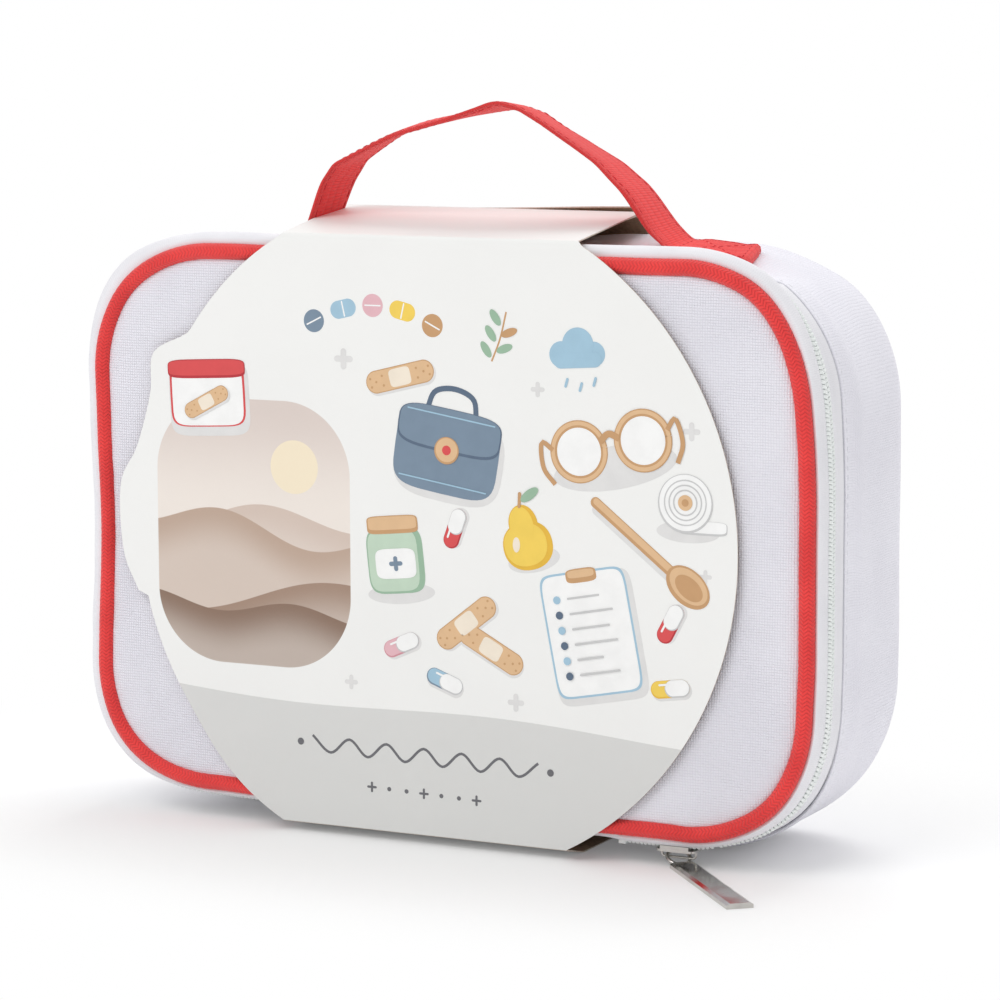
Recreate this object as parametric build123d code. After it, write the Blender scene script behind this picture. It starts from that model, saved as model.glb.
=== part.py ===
from build123d import *
from math import asin, cos, degrees, radians, sin
import os

# Soft zip-up doctor case with a card sleeve, as separate pieces in millimetres.
# X runs along the width, Y from front to back, and Z up. The origin lies on the flat underside of
# the sleeve's bottom panel, midway across the case's width and depth.

# ---------------------------------------------------------------- case
CASE_WIDTH = 274.0
CASE_HEIGHT = 201.0
CASE_DEPTH = 80.0  # from the piping's centre plane to the back
CASE_CORNER_RADIUS = 56.0
REAR_EDGE_RADIUS = 18.0
CANVAS_THICKNESS = 1.0  # Oxford canvas with its folded hem
FOAM_THICKNESS = 3.0
LINING_THICKNESS = 0.4
BOARD_THICKNESS = 1.2
LAYER_GAP = 0.02  # between two sewn or glued layers

# ---------------------------------------------------------------- lid rim, laid out from the piping's path
PIPING_CORNER_RADIUS = 42.0
PIPING_DIAMETER = 5.5
PANEL_SETBACK = 1.0  # the front canvas lies this far in front of the piping's centre plane
SEAM_ALLOWANCE = 2.0  # lining past the piping's path
BINDING_HEIGHT = 3.0
BINDING_THICKNESS = 1.6

# ---------------------------------------------------------------- zip
TAPE_OUT = 4.8  # tape's outer face, measured outward from the piping's path
TAPE_THICKNESS = 0.7
TAPE_WRAP = (8, 32, 56, 78)  # degrees round the piping, from straight behind it outward
ZIP_SETBACK = 8.0  # from the piping's centre plane to the middle of the coils
COIL_WIDTH = 2.6  # one half
COIL_GAP = 0.4
COIL_HEIGHT = 1.2
COIL_NOTCH = 0.9  # each half gives way by this where the slider has parted them
PARTED_MARGIN = 3.0
STOP_LENGTH = 2.4
STOP_MARGIN = 4.0  # from the middle of an end stop to the slider's left end at its travel's limit
RUN_MARGIN = 8.0  # the lid's tape is free this far past the slider
TAPE_STEP = 4.5  # the body's tape steps out to the hem this far in front of it

# ---------------------------------------------------------------- hem of the side band
HEM_OUT = 7.5
SIDE_SWELL = 0.5  # the band bulges past its hem at each side
TOP_SAG = 0.15  # and dips under it along the top
BOTTOM_SAG = 3.85  # and hangs under it along the bottom
HEM_SETBACK = 18.5
HEM_WIDTH = 6.5
FLARE_WIDTH = 7.0  # the band swells from the hem to its full outline over this depth

# ---------------------------------------------------------------- back panel
BACK_SEAM_INSET = 22.0
BACK_BINDING_WIDTH = 6.0
BACK_BINDING_THICKNESS = 0.6

# ---------------------------------------------------------------- handle
STRAP_WIDTH = 25.0
STRAP_THICKNESS = 1.8
PATCH_THICKNESS = 1.6
PATCH_INNER_X = 66.0
PATCH_OUTER_X = 97.0
BACKING_THICKNESS = 0.8
BACKING_MARGIN = 1.5
HANDLE_SETBACK = 15.0  # the strap's middle lies this far behind the hem
STRAP_ROOT_HEIGHT = 8.0  # the lowest stretch bends when the handle tilts
STRAP_END_X = 78.0
STRAP_LEFT_FOOT = (-69.4, 0.6)  # x, and height over the sewn end
STRAP_SHOULDER = (-58.8, 19.3)
STRAP_RISE = (-34.5, 30.0)
STRAP_PEAK = (4.0, 39.6)
STRAP_KINK = (13.0, 37.4)
STRAP_SLOPE = (41.0, 20.3)
STRAP_RIGHT_FOOT = (64.5, 0.8)
STRAP_BEND_RADII = (4.0, 8.0, 60.0, 12.0, 5.0, 28.0, 5.0)

# ---------------------------------------------------------------- card sleeve
CARD_THICKNESS = 0.45
SLEEVE_DISC_RADIUS = 112.5
SLEEVE_DISC_RIGHT = 108.0
SLEEVE_GAP = 0.5  # between the piping and the front panel's inner face
CREASE_GAP = 0.3
SLEEVE_TOP_LEFT = -49.0
SLEEVE_TOP_RIGHT = 52.0
SLEEVE_REAR_LEFT = -63.5
SLEEVE_REAR_RIGHT = 43.0
SLEEVE_BOTTOM_LEFT = -57.5
SLEEVE_BOTTOM_RIGHT = 48.0
SLEEVE_CREASE_HEIGHT = 3.4  # bottom crease over the ground
SLEEVE_SHOULDER_DEPTH = 19.75  # the top panel ends this far in front of the case's back
SLEEVE_TOP_RISE = 5.8
SLEEVE_FOOT_SETBACK = 13.0  # the bottom panel meets the ground this far behind its front crease
SLEEVE_FOOT_MARGIN = 2.3  # flat stretch between the bottom bend and the bottom panel
SLEEVE_LIP = 1.5  # back panel's edge over the top panel
SLEEVE_SHOULDER_DROP = 10.0  # the back panel falls by this before it turns down
GLUE_FLAP = 12.0
SLEEVE_FOOT_BEND = 8.0
SLEEVE_TOP_BEND = 20.0
SLEEVE_BOTTOM_BEND = 17.0
# a die-cut tab breaks out of the disc's left side: x, and height over the rim's centre
SLEEVE_TAB = ((-88.0, 69.0), (-93.4, 63.9), (-106.0, 57.3), (-107.5, 43.3), (-113.0, 25.0),
              (-119.6, 12.0), (-118.9, -11.0), (-113.0, -25.0))

# ---------------------------------------------------------------- slider and puller
SLIDER_CORNER_GAP = 4.0  # the slider's middle lies this far before the rim's corner
SLIDER_LENGTH = 14.0
SLIDER_PLATE = 0.8
SLIDER_CLEARANCE = 0.25
SLIDER_FLANGE = 1.0
SLIDER_WEDGE_LENGTH = 4.0
SLIDER_WEDGE_WIDTH = 1.2
SLIDER_TRAVEL = 8.0
CROWN_LENGTH = 12.0
CROWN_WIRE = 0.9
EYE_RADIUS = 3.8
EYE_WIRE = 1.3
PULLER_LENGTH = 61.0
PULLER_WIDTH = 8.8
PULLER_THICKNESS = 1.8
PULLER_CHAMFER = 0.6
PULLER_YAW = -48.5  # turned forward from the zip's run
PULLER_FLOOR_GAP = 0.05

# ---------------------------------------------------------------- worked out
FRONT_Y = -CASE_DEPTH / 2
BACK_Y = CASE_DEPTH / 2
PIPING_WIDTH = CASE_WIDTH - 2 * (HEM_OUT + SIDE_SWELL)
PIPING_HEIGHT = CASE_HEIGHT + TOP_SAG - BOTTOM_SAG - 2 * HEM_OUT
CARD_FLOOR = CARD_THICKNESS + 0.05
CASE_CENTRE_Z = CARD_FLOOR + CASE_HEIGHT / 2
CASE_TOP_Z = CASE_CENTRE_Z + CASE_HEIGHT / 2
RIM_CENTRE_Z = CASE_TOP_Z + TOP_SAG - HEM_OUT - PIPING_HEIGHT / 2
RIM_BOTTOM_Z = RIM_CENTRE_Z - PIPING_HEIGHT / 2
ZIP_Y = FRONT_Y + ZIP_SETBACK
TAPE_IN = TAPE_OUT - TAPE_THICKNESS
COIL_OUT = TAPE_OUT + COIL_HEIGHT
HEM_Y = FRONT_Y + HEM_SETBACK
HEM_BACK_Y = HEM_Y + HEM_WIDTH
FLARE_BACK_Y = HEM_BACK_Y + FLARE_WIDTH
HEM_IN = HEM_OUT - CANVAS_THICKNESS
LINED_INSET = CANVAS_THICKNESS + FOAM_THICKNESS
INNER_INSET = LINED_INSET + LINING_THICKNESS
PIPING_RADIUS = PIPING_DIAMETER / 2
SLIDER_X = PIPING_WIDTH / 2 - PIPING_CORNER_RADIUS - SLIDER_CORNER_GAP
HINGE_HALF_WIDTH = SLIDER_X - SLIDER_LENGTH / 2 - SLIDER_TRAVEL - STOP_MARGIN
HANDLE_Y = HEM_BACK_Y + HANDLE_SETBACK
STRAP_BASE_Z = CASE_TOP_Z + PATCH_THICKNESS + STRAP_THICKNESS / 2 + 0.1
SLEEVE_BACK_FACE_Y = FRONT_Y - PIPING_RADIUS - SLEEVE_GAP
SLEEVE_FRONT_Y = SLEEVE_BACK_FACE_Y - CARD_THICKNESS
SLEEVE_TOP_Z = CASE_TOP_Z + 0.1
SLEEVE_REAR_Y = BACK_Y - SLEEVE_SHOULDER_DEPTH
SLEEVE_TOP_DEPTH = SLEEVE_REAR_Y - SLEEVE_BACK_FACE_Y
SLEEVE_REAR_Z = SLEEVE_TOP_Z + SLEEVE_TOP_RISE
SLEEVE_FOOT_BACK_Y = BACK_Y - SLEEVE_BOTTOM_BEND - SLEEVE_FOOT_MARGIN
SLEEVE_TILT = degrees(asin(SLEEVE_TOP_RISE / SLEEVE_TOP_DEPTH))
SLIDER_PLATE_OUT = COIL_OUT + SLIDER_CLEARANCE + SLIDER_PLATE
SLIDER_PLATE_Z = RIM_BOTTOM_Z - SLIDER_PLATE_OUT
EYE_PLANE_Z = SLIDER_PLATE_Z / 2
EYE_RISE = SLIDER_PLATE_Z / 2 - EYE_WIRE / 2 - PULLER_FLOOR_GAP
BIG = 500.0


def upright_plane(y, z):
    """Plane at depth y facing the back, with its middle at height z."""
    return Plane(origin=(0, y, z), x_dir=(1, 0, 0), z_dir=(0, 1, 0))


def span_box(x_span, y_span, z_span):
    """Box between two values on each axis."""
    size = [high - low for low, high in (x_span, y_span, z_span)]
    centre = [(high + low) / 2 for low, high in (x_span, y_span, z_span)]
    return Pos(*centre) * Box(*size)


def rim_outline(offset, y):
    """Rounded outline at a distance outward from the piping's path."""
    shape = RectangleRounded(PIPING_WIDTH + 2 * offset, PIPING_HEIGHT + 2 * offset,
                             PIPING_CORNER_RADIUS + offset)
    return upright_plane(y, RIM_CENTRE_Z) * shape


def case_outline(inset, y):
    """Rounded outline of the whole case, drawn in by an inset."""
    shape = RectangleRounded(CASE_WIDTH - 2 * inset, CASE_HEIGHT - 2 * inset,
                             CASE_CORNER_RADIUS - inset)
    return upright_plane(y, CASE_CENTRE_Z) * shape


def rim_slab(offset, y_front, y_back):
    """Solid slab inside the rim's outline, between two depths."""
    return extrude(rim_outline(offset, y_front), y_back - y_front)


def rim_ring(profile):
    """Profile of (outward offset, depth) points carried once round the piping's path."""
    half_x = PIPING_WIDTH / 2 - PIPING_CORNER_RADIUS
    half_z = PIPING_HEIGHT / 2 - PIPING_CORNER_RADIUS
    section = make_face(Polyline([(PIPING_CORNER_RADIUS + out, y) for out, y in profile], close=True))
    ring = Part()
    for turn, reach, run in ((0, half_x, half_z), (90, half_z, half_x),
                             (180, half_x, half_z), (270, half_z, half_x)):
        side = Pos(0, 0, -run) * extrude(section, 2 * run)
        corner = Pos(0, 0, -run) * revolve(section, Axis.Y, 90)
        ring += Rot(0, -turn, 0) * (Pos(reach, 0, 0) * (side + corner))
    return Pos(0, 0, RIM_CENTRE_Z) * ring


def tub(inset, y_front=HEM_Y):
    """Solid inside the side band and back, drawn in by an inset and open-ended at its front."""
    hem = extrude(rim_outline(HEM_OUT - inset, y_front), HEM_BACK_Y - y_front)
    flare = loft([rim_outline(HEM_OUT - inset, HEM_BACK_Y).face(),
                  case_outline(inset, FLARE_BACK_Y).face()], ruled=True)
    main = extrude(case_outline(inset, FLARE_BACK_Y), BACK_Y - inset - FLARE_BACK_Y)
    rear_edges = main.edges().group_by(Axis.Y)[-1]
    main = fillet(rear_edges, REAR_EDGE_RADIUS - inset)
    return hem + flare + main


def back_seam_core(shrink=0.0):
    """Prism inside the seam between the side band and the back panel."""
    return extrude(case_outline(BACK_SEAM_INSET + shrink, BACK_Y - REAR_EDGE_RADIUS), BIG)


def tub_layer(outer_inset, inner_inset, y_front):
    """One layer of the band and back, between two insets and behind a depth."""
    layer = tub(outer_inset) - tub(inner_inset, HEM_Y - 1)
    return layer - span_box((-BIG, BIG), (-BIG, y_front), (-BIG, BIG))


def hinge_window(y_front, y_back, left=-HINGE_HALF_WIDTH, right=HINGE_HALF_WIDTH):
    """Box over a stretch of the rim's bottom side."""
    return span_box((left, right), (y_front, y_back), (-BIG, RIM_BOTTOM_Z + PIPING_RADIUS))


# ---------------------------------------------------------------- side band and back
def side_band():
    """Canvas, foam and lining of the band, with the foam cleared for the handle's backing."""
    core = back_seam_core()
    behind_tape = HEM_BACK_Y + 0.3
    foam = tub_layer(CANVAS_THICKNESS + LAYER_GAP, LINED_INSET, behind_tape) - core
    return {
        "side_band_canvas": tub_layer(0, CANVAS_THICKNESS, HEM_Y) - core,
        "side_band_foam": foam - handle_backing(LAYER_GAP),
        "side_band_lining": tub_layer(LINED_INSET + LAYER_GAP, INNER_INSET, behind_tape) - core,
    }


def back_panel():
    """Canvas, foam, stiffening board, lining and inner seam binding of the back."""
    core = back_seam_core(LAYER_GAP)
    canvas_in = BACK_Y - CANVAS_THICKNESS
    board_in = BACK_Y - LINED_INSET
    lining_in = BACK_Y - INNER_INSET
    board = core & span_box((-BIG, BIG), (board_in, board_in + BOARD_THICKNESS), (-BIG, BIG))
    foam = core & span_box((-BIG, BIG), (board_in + BOARD_THICKNESS + LAYER_GAP, canvas_in - LAYER_GAP),
                           (-BIG, BIG))
    lining = core & span_box((-BIG, BIG), (lining_in, board_in - LAYER_GAP), (-BIG, BIG))
    binding_y = lining_in - LAYER_GAP - BACK_BINDING_THICKNESS
    binding_inset = BACK_SEAM_INSET - BACK_BINDING_WIDTH / 2
    binding = (extrude(case_outline(binding_inset, binding_y), BACK_BINDING_THICKNESS)
               - extrude(case_outline(binding_inset + BACK_BINDING_WIDTH, binding_y),
                         BACK_BINDING_THICKNESS))
    return {
        "back_panel_canvas": core & span_box((-BIG, BIG), (canvas_in, BACK_Y), (-BIG, BIG)),
        "back_panel_foam": foam,
        "back_panel_board": board,
        "back_panel_lining": lining,
        "back_seam_binding": binding,
    }


# ---------------------------------------------------------------- lid
def front_panel():
    """Canvas, foam, board and lining inside the piping, outermost first."""
    canvas_y = FRONT_Y - PANEL_SETBACK
    foam_y = canvas_y + CANVAS_THICKNESS + LAYER_GAP
    board_y = foam_y + FOAM_THICKNESS + LAYER_GAP
    lining_y = board_y + BOARD_THICKNESS + LAYER_GAP
    inside_piping = -PIPING_RADIUS - 0.1
    return {
        "front_panel_canvas": rim_slab(inside_piping, canvas_y, canvas_y + CANVAS_THICKNESS),
        "front_panel_foam": rim_slab(inside_piping - 0.2, foam_y, foam_y + FOAM_THICKNESS),
        "front_panel_board": rim_slab(inside_piping - 0.2, board_y, board_y + BOARD_THICKNESS),
        "front_panel_lining": rim_slab(SEAM_ALLOWANCE, lining_y, lining_y + LINING_THICKNESS),
        "lid_seam_binding": rim_ring(box_profile(
            SEAM_ALLOWANCE - BINDING_THICKNESS, SEAM_ALLOWANCE,
            lining_y + LINING_THICKNESS + LAYER_GAP,
            lining_y + LINING_THICKNESS + LAYER_GAP + BINDING_HEIGHT)),
    }


def box_profile(out_low, out_high, y_low, y_high):
    """Corners of a rectangular profile for rim_ring."""
    return [(out_low, y_low), (out_high, y_low), (out_high, y_high), (out_low, y_high)]


def front_piping():
    """Round cord round the front panel."""
    half_x = PIPING_WIDTH / 2 - PIPING_CORNER_RADIUS
    half_z = PIPING_HEIGHT / 2 - PIPING_CORNER_RADIUS
    section = Pos(PIPING_CORNER_RADIUS, FRONT_Y) * Circle(PIPING_RADIUS)
    cord = Part()
    for turn, reach, run in ((0, half_x, half_z), (90, half_z, half_x),
                             (180, half_x, half_z), (270, half_z, half_x)):
        side = Pos(0, 0, -run) * extrude(section, 2 * run)
        corner = Pos(0, 0, -run) * revolve(section, Axis.Y, 90)
        cord += Rot(0, -turn, 0) * (Pos(reach, 0, 0) * (side + corner))
    return Pos(0, 0, RIM_CENTRE_Z) * cord


# ---------------------------------------------------------------- zip
def lid_tape_profile():
    """Lid's tape: sewn behind the piping, then out round it and back to the coil."""
    edge_y = ZIP_Y - COIL_GAP / 2 - 0.1
    hug = PIPING_RADIUS + 0.2
    wrap = [(hug * sin(radians(turn)), FRONT_Y + hug * cos(radians(turn))) for turn in TAPE_WRAP]
    shoulder_y = FRONT_Y + hug + TAPE_THICKNESS
    inner_start = (wrap[0][0], wrap[0][1] + TAPE_THICKNESS)
    return wrap + [(hug + TAPE_THICKNESS, wrap[-1][1]), (TAPE_OUT, shoulder_y), (TAPE_OUT, edge_y),
                   (TAPE_IN, edge_y), (TAPE_IN, shoulder_y + 0.1), inner_start]


def body_tape_profile():
    """Body's tape: from the coil back under the band's hem."""
    edge_y = ZIP_Y + COIL_GAP / 2 + 0.1
    step_y = HEM_Y - TAPE_STEP
    under_hem = HEM_IN - LAYER_GAP
    return [(TAPE_OUT, edge_y), (TAPE_OUT, step_y), (under_hem, step_y + 3), (under_hem, HEM_BACK_Y),
            (under_hem - TAPE_THICKNESS, HEM_BACK_Y), (under_hem - TAPE_THICKNESS, step_y + 3.2),
            (TAPE_IN, step_y + 0.2), (TAPE_IN, edge_y)]


def coil_half(side):
    """One half of the chain, on the lid's side (-1) or the body's (1)."""
    near, far = COIL_GAP / 2, COIL_GAP / 2 + COIL_WIDTH
    low, high = sorted((ZIP_Y + side * near, ZIP_Y + side * far))
    return rim_ring(box_profile(TAPE_OUT + LAYER_GAP, COIL_OUT, low, high)) - parted_stretch()


def parted_stretch():
    """Space between the halves where the slider's wedge has parted them."""
    wedge_end = SLIDER_X - SLIDER_LENGTH / 2 + SLIDER_WEDGE_LENGTH
    half = COIL_GAP / 2 + COIL_NOTCH
    return hinge_window(ZIP_Y - half, ZIP_Y + half, 0, wedge_end + PARTED_MARGIN)


def zip_chain():
    """Tapes and coil halves, with the lid's stretch at the slider apart, stops and sewn hinge."""
    end = HINGE_HALF_WIDTH + STOP_LENGTH / 2
    run_end = SLIDER_X + SLIDER_LENGTH / 2 + RUN_MARGIN
    lid_tape_y = FRONT_Y + PIPING_RADIUS + 0.1
    hinge_gap = hinge_window(lid_tape_y, HEM_BACK_Y + 1, -end - 0.2, end + 0.2)
    run_gap = hinge_window(lid_tape_y, ZIP_Y, 0, run_end)
    lid_tape = rim_ring(lid_tape_profile()) - parted_stretch()
    body_tape = rim_ring(body_tape_profile()) - parted_stretch()
    lid_coil, body_coil = coil_half(-1), coil_half(1)
    lid_open = (lid_tape + lid_coil) - hinge_gap
    stop_profile = (ZIP_Y - COIL_GAP / 2 - COIL_WIDTH, ZIP_Y + COIL_GAP / 2 + COIL_WIDTH)
    stops = [span_box((x - STOP_LENGTH / 2, x + STOP_LENGTH / 2), stop_profile,
                      (RIM_BOTTOM_Z - COIL_OUT - 0.2, RIM_BOTTOM_Z - TAPE_OUT - LAYER_GAP))
             for x in (-HINGE_HALF_WIDTH, HINGE_HALF_WIDTH)]
    strip_profile = [(out, y) for out, y in body_tape_profile()]
    strip_profile[0] = (TAPE_OUT, lid_tape_y + 0.1)
    strip_profile[-1] = (TAPE_IN, lid_tape_y + 0.1)
    strip_face = Plane.YZ.offset(-end) * make_face(
        Polyline([(y, RIM_BOTTOM_Z - out) for out, y in strip_profile], close=True))
    return {
        "lid_zip_tape": lid_tape - hinge_gap - run_gap,
        "lid_zip_coil": lid_coil - hinge_gap - run_gap,
        "lid_zip_run": lid_open & run_gap,
        "body_zip_tape": body_tape - hinge_gap,
        "body_zip_coil": body_coil - hinge_gap,
        "zip_end_stops": stops[0] + stops[1],
        "hinge_strip": extrude(strip_face, 2 * end),
        "rim_binding": rim_ring(box_profile(
            HEM_IN - TAPE_THICKNESS - BINDING_THICKNESS - 2 * LAYER_GAP,
            HEM_IN - TAPE_THICKNESS - 2 * LAYER_GAP,
            HEM_BACK_Y - BINDING_HEIGHT - 1.2, HEM_BACK_Y - 0.2)),
    }


def zip_slider():
    """Two plates joined by the parting wedge, with turned-in flanges and the crown's staple."""
    left, right = SLIDER_X - SLIDER_LENGTH / 2, SLIDER_X + SLIDER_LENGTH / 2
    coil_front = ZIP_Y - COIL_GAP / 2 - COIL_WIDTH - SLIDER_CLEARANCE
    coil_back = ZIP_Y + COIL_GAP / 2 + COIL_WIDTH + SLIDER_CLEARANCE
    front, back = coil_front - SLIDER_FLANGE, coil_back + SLIDER_FLANGE
    plate_bottom, plate_top = SLIDER_PLATE_Z, SLIDER_PLATE_Z + SLIDER_PLATE
    flange_top = RIM_BOTTOM_Z - TAPE_OUT - SLIDER_CLEARANCE
    inner_low = RIM_BOTTOM_Z - TAPE_IN + SLIDER_CLEARANCE
    inner_high = inner_low + SLIDER_PLATE
    plates = span_box((left, right), (front, back), (plate_bottom, plate_top))
    plates = fillet(plates.edges().filter_by(Axis.Z), 2.0)
    plates += span_box((left + 2, right - 2), (front, coil_front), (plate_bottom, flange_top))
    plates += span_box((left + 2, right - 2), (coil_back, back), (plate_bottom, flange_top))
    inner = span_box((left, right), (front, back), (inner_low, inner_high))
    plates += fillet(inner.edges().filter_by(Axis.Z), 2.0)
    wedge = span_box((left + 0.4, left + SLIDER_WEDGE_LENGTH),
                     (ZIP_Y - SLIDER_WEDGE_WIDTH / 2, ZIP_Y + SLIDER_WEDGE_WIDTH / 2),
                     (plate_top - 0.1, inner_low + 0.1))
    return plates + wedge


def slider_crown():
    """Round wire staple under the slider's outer plate."""
    half = CROWN_LENGTH / 2
    route = FilletPolyline([(-half, SLIDER_PLATE_Z), (-half, EYE_PLANE_Z),
                            (half, EYE_PLANE_Z), (half, SLIDER_PLATE_Z)], radius=1.2)
    route = Plane(origin=(SLIDER_X, ZIP_Y, 0), x_dir=(1, 0, 0), z_dir=(0, -1, 0)) * route
    section = Plane(origin=route @ 0, z_dir=route % 0) * Circle(CROWN_WIRE / 2)
    return sweep(section, path=route)


def zip_puller():
    """Eye looped round the crown's wire, and the long faceted grip that lies on the ground."""
    tilt = degrees(asin(EYE_RISE / EYE_RADIUS))
    eye = Pos(0, 0, EYE_PLANE_Z) * (Rot(0, tilt, 0) * Torus(EYE_RADIUS, EYE_WIRE / 2))
    grip_start = EYE_RADIUS + 0.2
    grip = Pos((grip_start + PULLER_LENGTH) / 2, 0, PULLER_THICKNESS / 2) * Box(
        PULLER_LENGTH - grip_start, PULLER_WIDTH, PULLER_THICKNESS)
    grip = chamfer(grip.edges().filter_by(Axis.X).group_by(Axis.Z)[-1], PULLER_CHAMFER,
                   2 * PULLER_CHAMFER)
    return Pos(SLIDER_X, ZIP_Y, 0) * (Rot(0, 0, PULLER_YAW) * (eye + grip))


# ---------------------------------------------------------------- handle
def top_slice(thickness_over, thickness_under, x_span, y_span):
    """Slice of a layer that follows the case's top, between two heights off its surface."""
    layer = tub(-thickness_over) - tub(-thickness_under, HEM_Y - 1)
    return layer & span_box(x_span, y_span, (CASE_CENTRE_Z, BIG))


def handle_patches():
    """Sewn ends that the strap lies on, left and right."""
    width = (HANDLE_Y - STRAP_WIDTH / 2, HANDLE_Y + STRAP_WIDTH / 2)
    spans = {"left": (-PATCH_OUTER_X, -PATCH_INNER_X), "right": (PATCH_INNER_X, PATCH_OUTER_X)}
    return {f"handle_patch_{side}": top_slice(PATCH_THICKNESS, LAYER_GAP, span, width)
            for side, span in spans.items()}


def handle_backing(gap=0.0):
    """Reinforcing plates behind both patches, under the canvas."""
    half = STRAP_WIDTH / 2 + BACKING_MARGIN + gap
    inner, outer = PATCH_INNER_X - BACKING_MARGIN - gap, PATCH_OUTER_X + BACKING_MARGIN + gap
    canvas = CANVAS_THICKNESS + LAYER_GAP
    plates = Part()
    for x_span in ((-outer, -inner), (inner, outer)):
        plates += top_slice(-(canvas - gap), -(canvas + BACKING_THICKNESS + gap), x_span,
                            (HANDLE_Y - half, HANDLE_Y + half))
    return plates


def strap_loop():
    """Webbing strap, bent in the XZ plane and as wide as the webbing."""
    points = [(-STRAP_END_X, 0), STRAP_LEFT_FOOT, STRAP_SHOULDER, STRAP_RISE, STRAP_PEAK, STRAP_KINK,
              STRAP_SLOPE, STRAP_RIGHT_FOOT, (STRAP_END_X, 0)]
    route = FilletPolyline(points, radius=STRAP_BEND_RADII)
    outline = make_face(offset(route, amount=STRAP_THICKNESS / 2, side=Side.BOTH))
    front = Plane(origin=(0, HANDLE_Y + STRAP_WIDTH / 2, STRAP_BASE_Z), x_dir=(1, 0, 0), z_dir=(0, -1, 0))
    return extrude(front * outline, STRAP_WIDTH)


def handle():
    """Strap's arch, and the two lowest stretches that bend when it tilts."""
    strap = strap_loop()
    split_z = STRAP_BASE_Z + STRAP_ROOT_HEIGHT
    below = span_box((-BIG, BIG), (-BIG, BIG), (-BIG, split_z))
    roots = strap & below
    left = span_box((-BIG, 0), (-BIG, BIG), (-BIG, BIG))
    return {
        "handle_strap": strap - below,
        "strap_root_left": roots & left,
        "strap_root_right": roots - left,
        "handle_backing": handle_backing(),
        **handle_patches(),
    }


# ---------------------------------------------------------------- card sleeve
def sleeve_front():
    """Die-cut disc with its left tab, cut straight at both creases."""
    top = SLEEVE_TOP_Z - RIM_CENTRE_Z - CREASE_GAP / 2
    bottom = SLEEVE_CREASE_HEIGHT - RIM_CENTRE_Z + CREASE_GAP / 2
    top_left, top_right = (SLEEVE_TOP_LEFT, top), (SLEEVE_TOP_RIGHT, top)
    bottom_left, bottom_right = (SLEEVE_BOTTOM_LEFT, bottom), (SLEEVE_BOTTOM_RIGHT, bottom)
    outline = Curve() + [
        Line(top_left, top_right),
        ThreePointArc(top_right, (SLEEVE_DISC_RIGHT, 0), bottom_right),
        Line(bottom_right, bottom_left),
        RadiusArc(bottom_left, SLEEVE_TAB[-1], SLEEVE_DISC_RADIUS),
        Spline(*reversed(SLEEVE_TAB)),
        RadiusArc(SLEEVE_TAB[0], top_left, SLEEVE_DISC_RADIUS),
    ]
    plane = Plane(origin=(0, SLEEVE_BACK_FACE_Y, RIM_CENTRE_Z), x_dir=(1, 0, 0), z_dir=(0, -1, 0))
    return extrude(plane * make_face(outline), CARD_THICKNESS)


def sleeve_top():
    """Top panel, rising to the back between the handle's feet."""
    corners = [(SLEEVE_TOP_LEFT, 0.1), (SLEEVE_TOP_RIGHT, 0.1), (SLEEVE_REAR_RIGHT, SLEEVE_TOP_DEPTH),
               (SLEEVE_REAR_LEFT, SLEEVE_TOP_DEPTH)]
    panel = extrude(make_face(Polyline(corners, close=True)), CARD_THICKNESS)
    return Pos(0, SLEEVE_BACK_FACE_Y, SLEEVE_TOP_Z) * (Rot(SLEEVE_TILT, 0, 0) * panel)


def card_strip(points, radii):
    """Card bent along a route of (depth, height) points and run across the full width."""
    route = FilletPolyline(points, radius=radii)
    outline = make_face(offset(route, amount=CARD_THICKNESS / 2, side=Side.BOTH))
    return extrude(Plane.YZ.offset(-BIG / 2) * outline, BIG)


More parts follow.
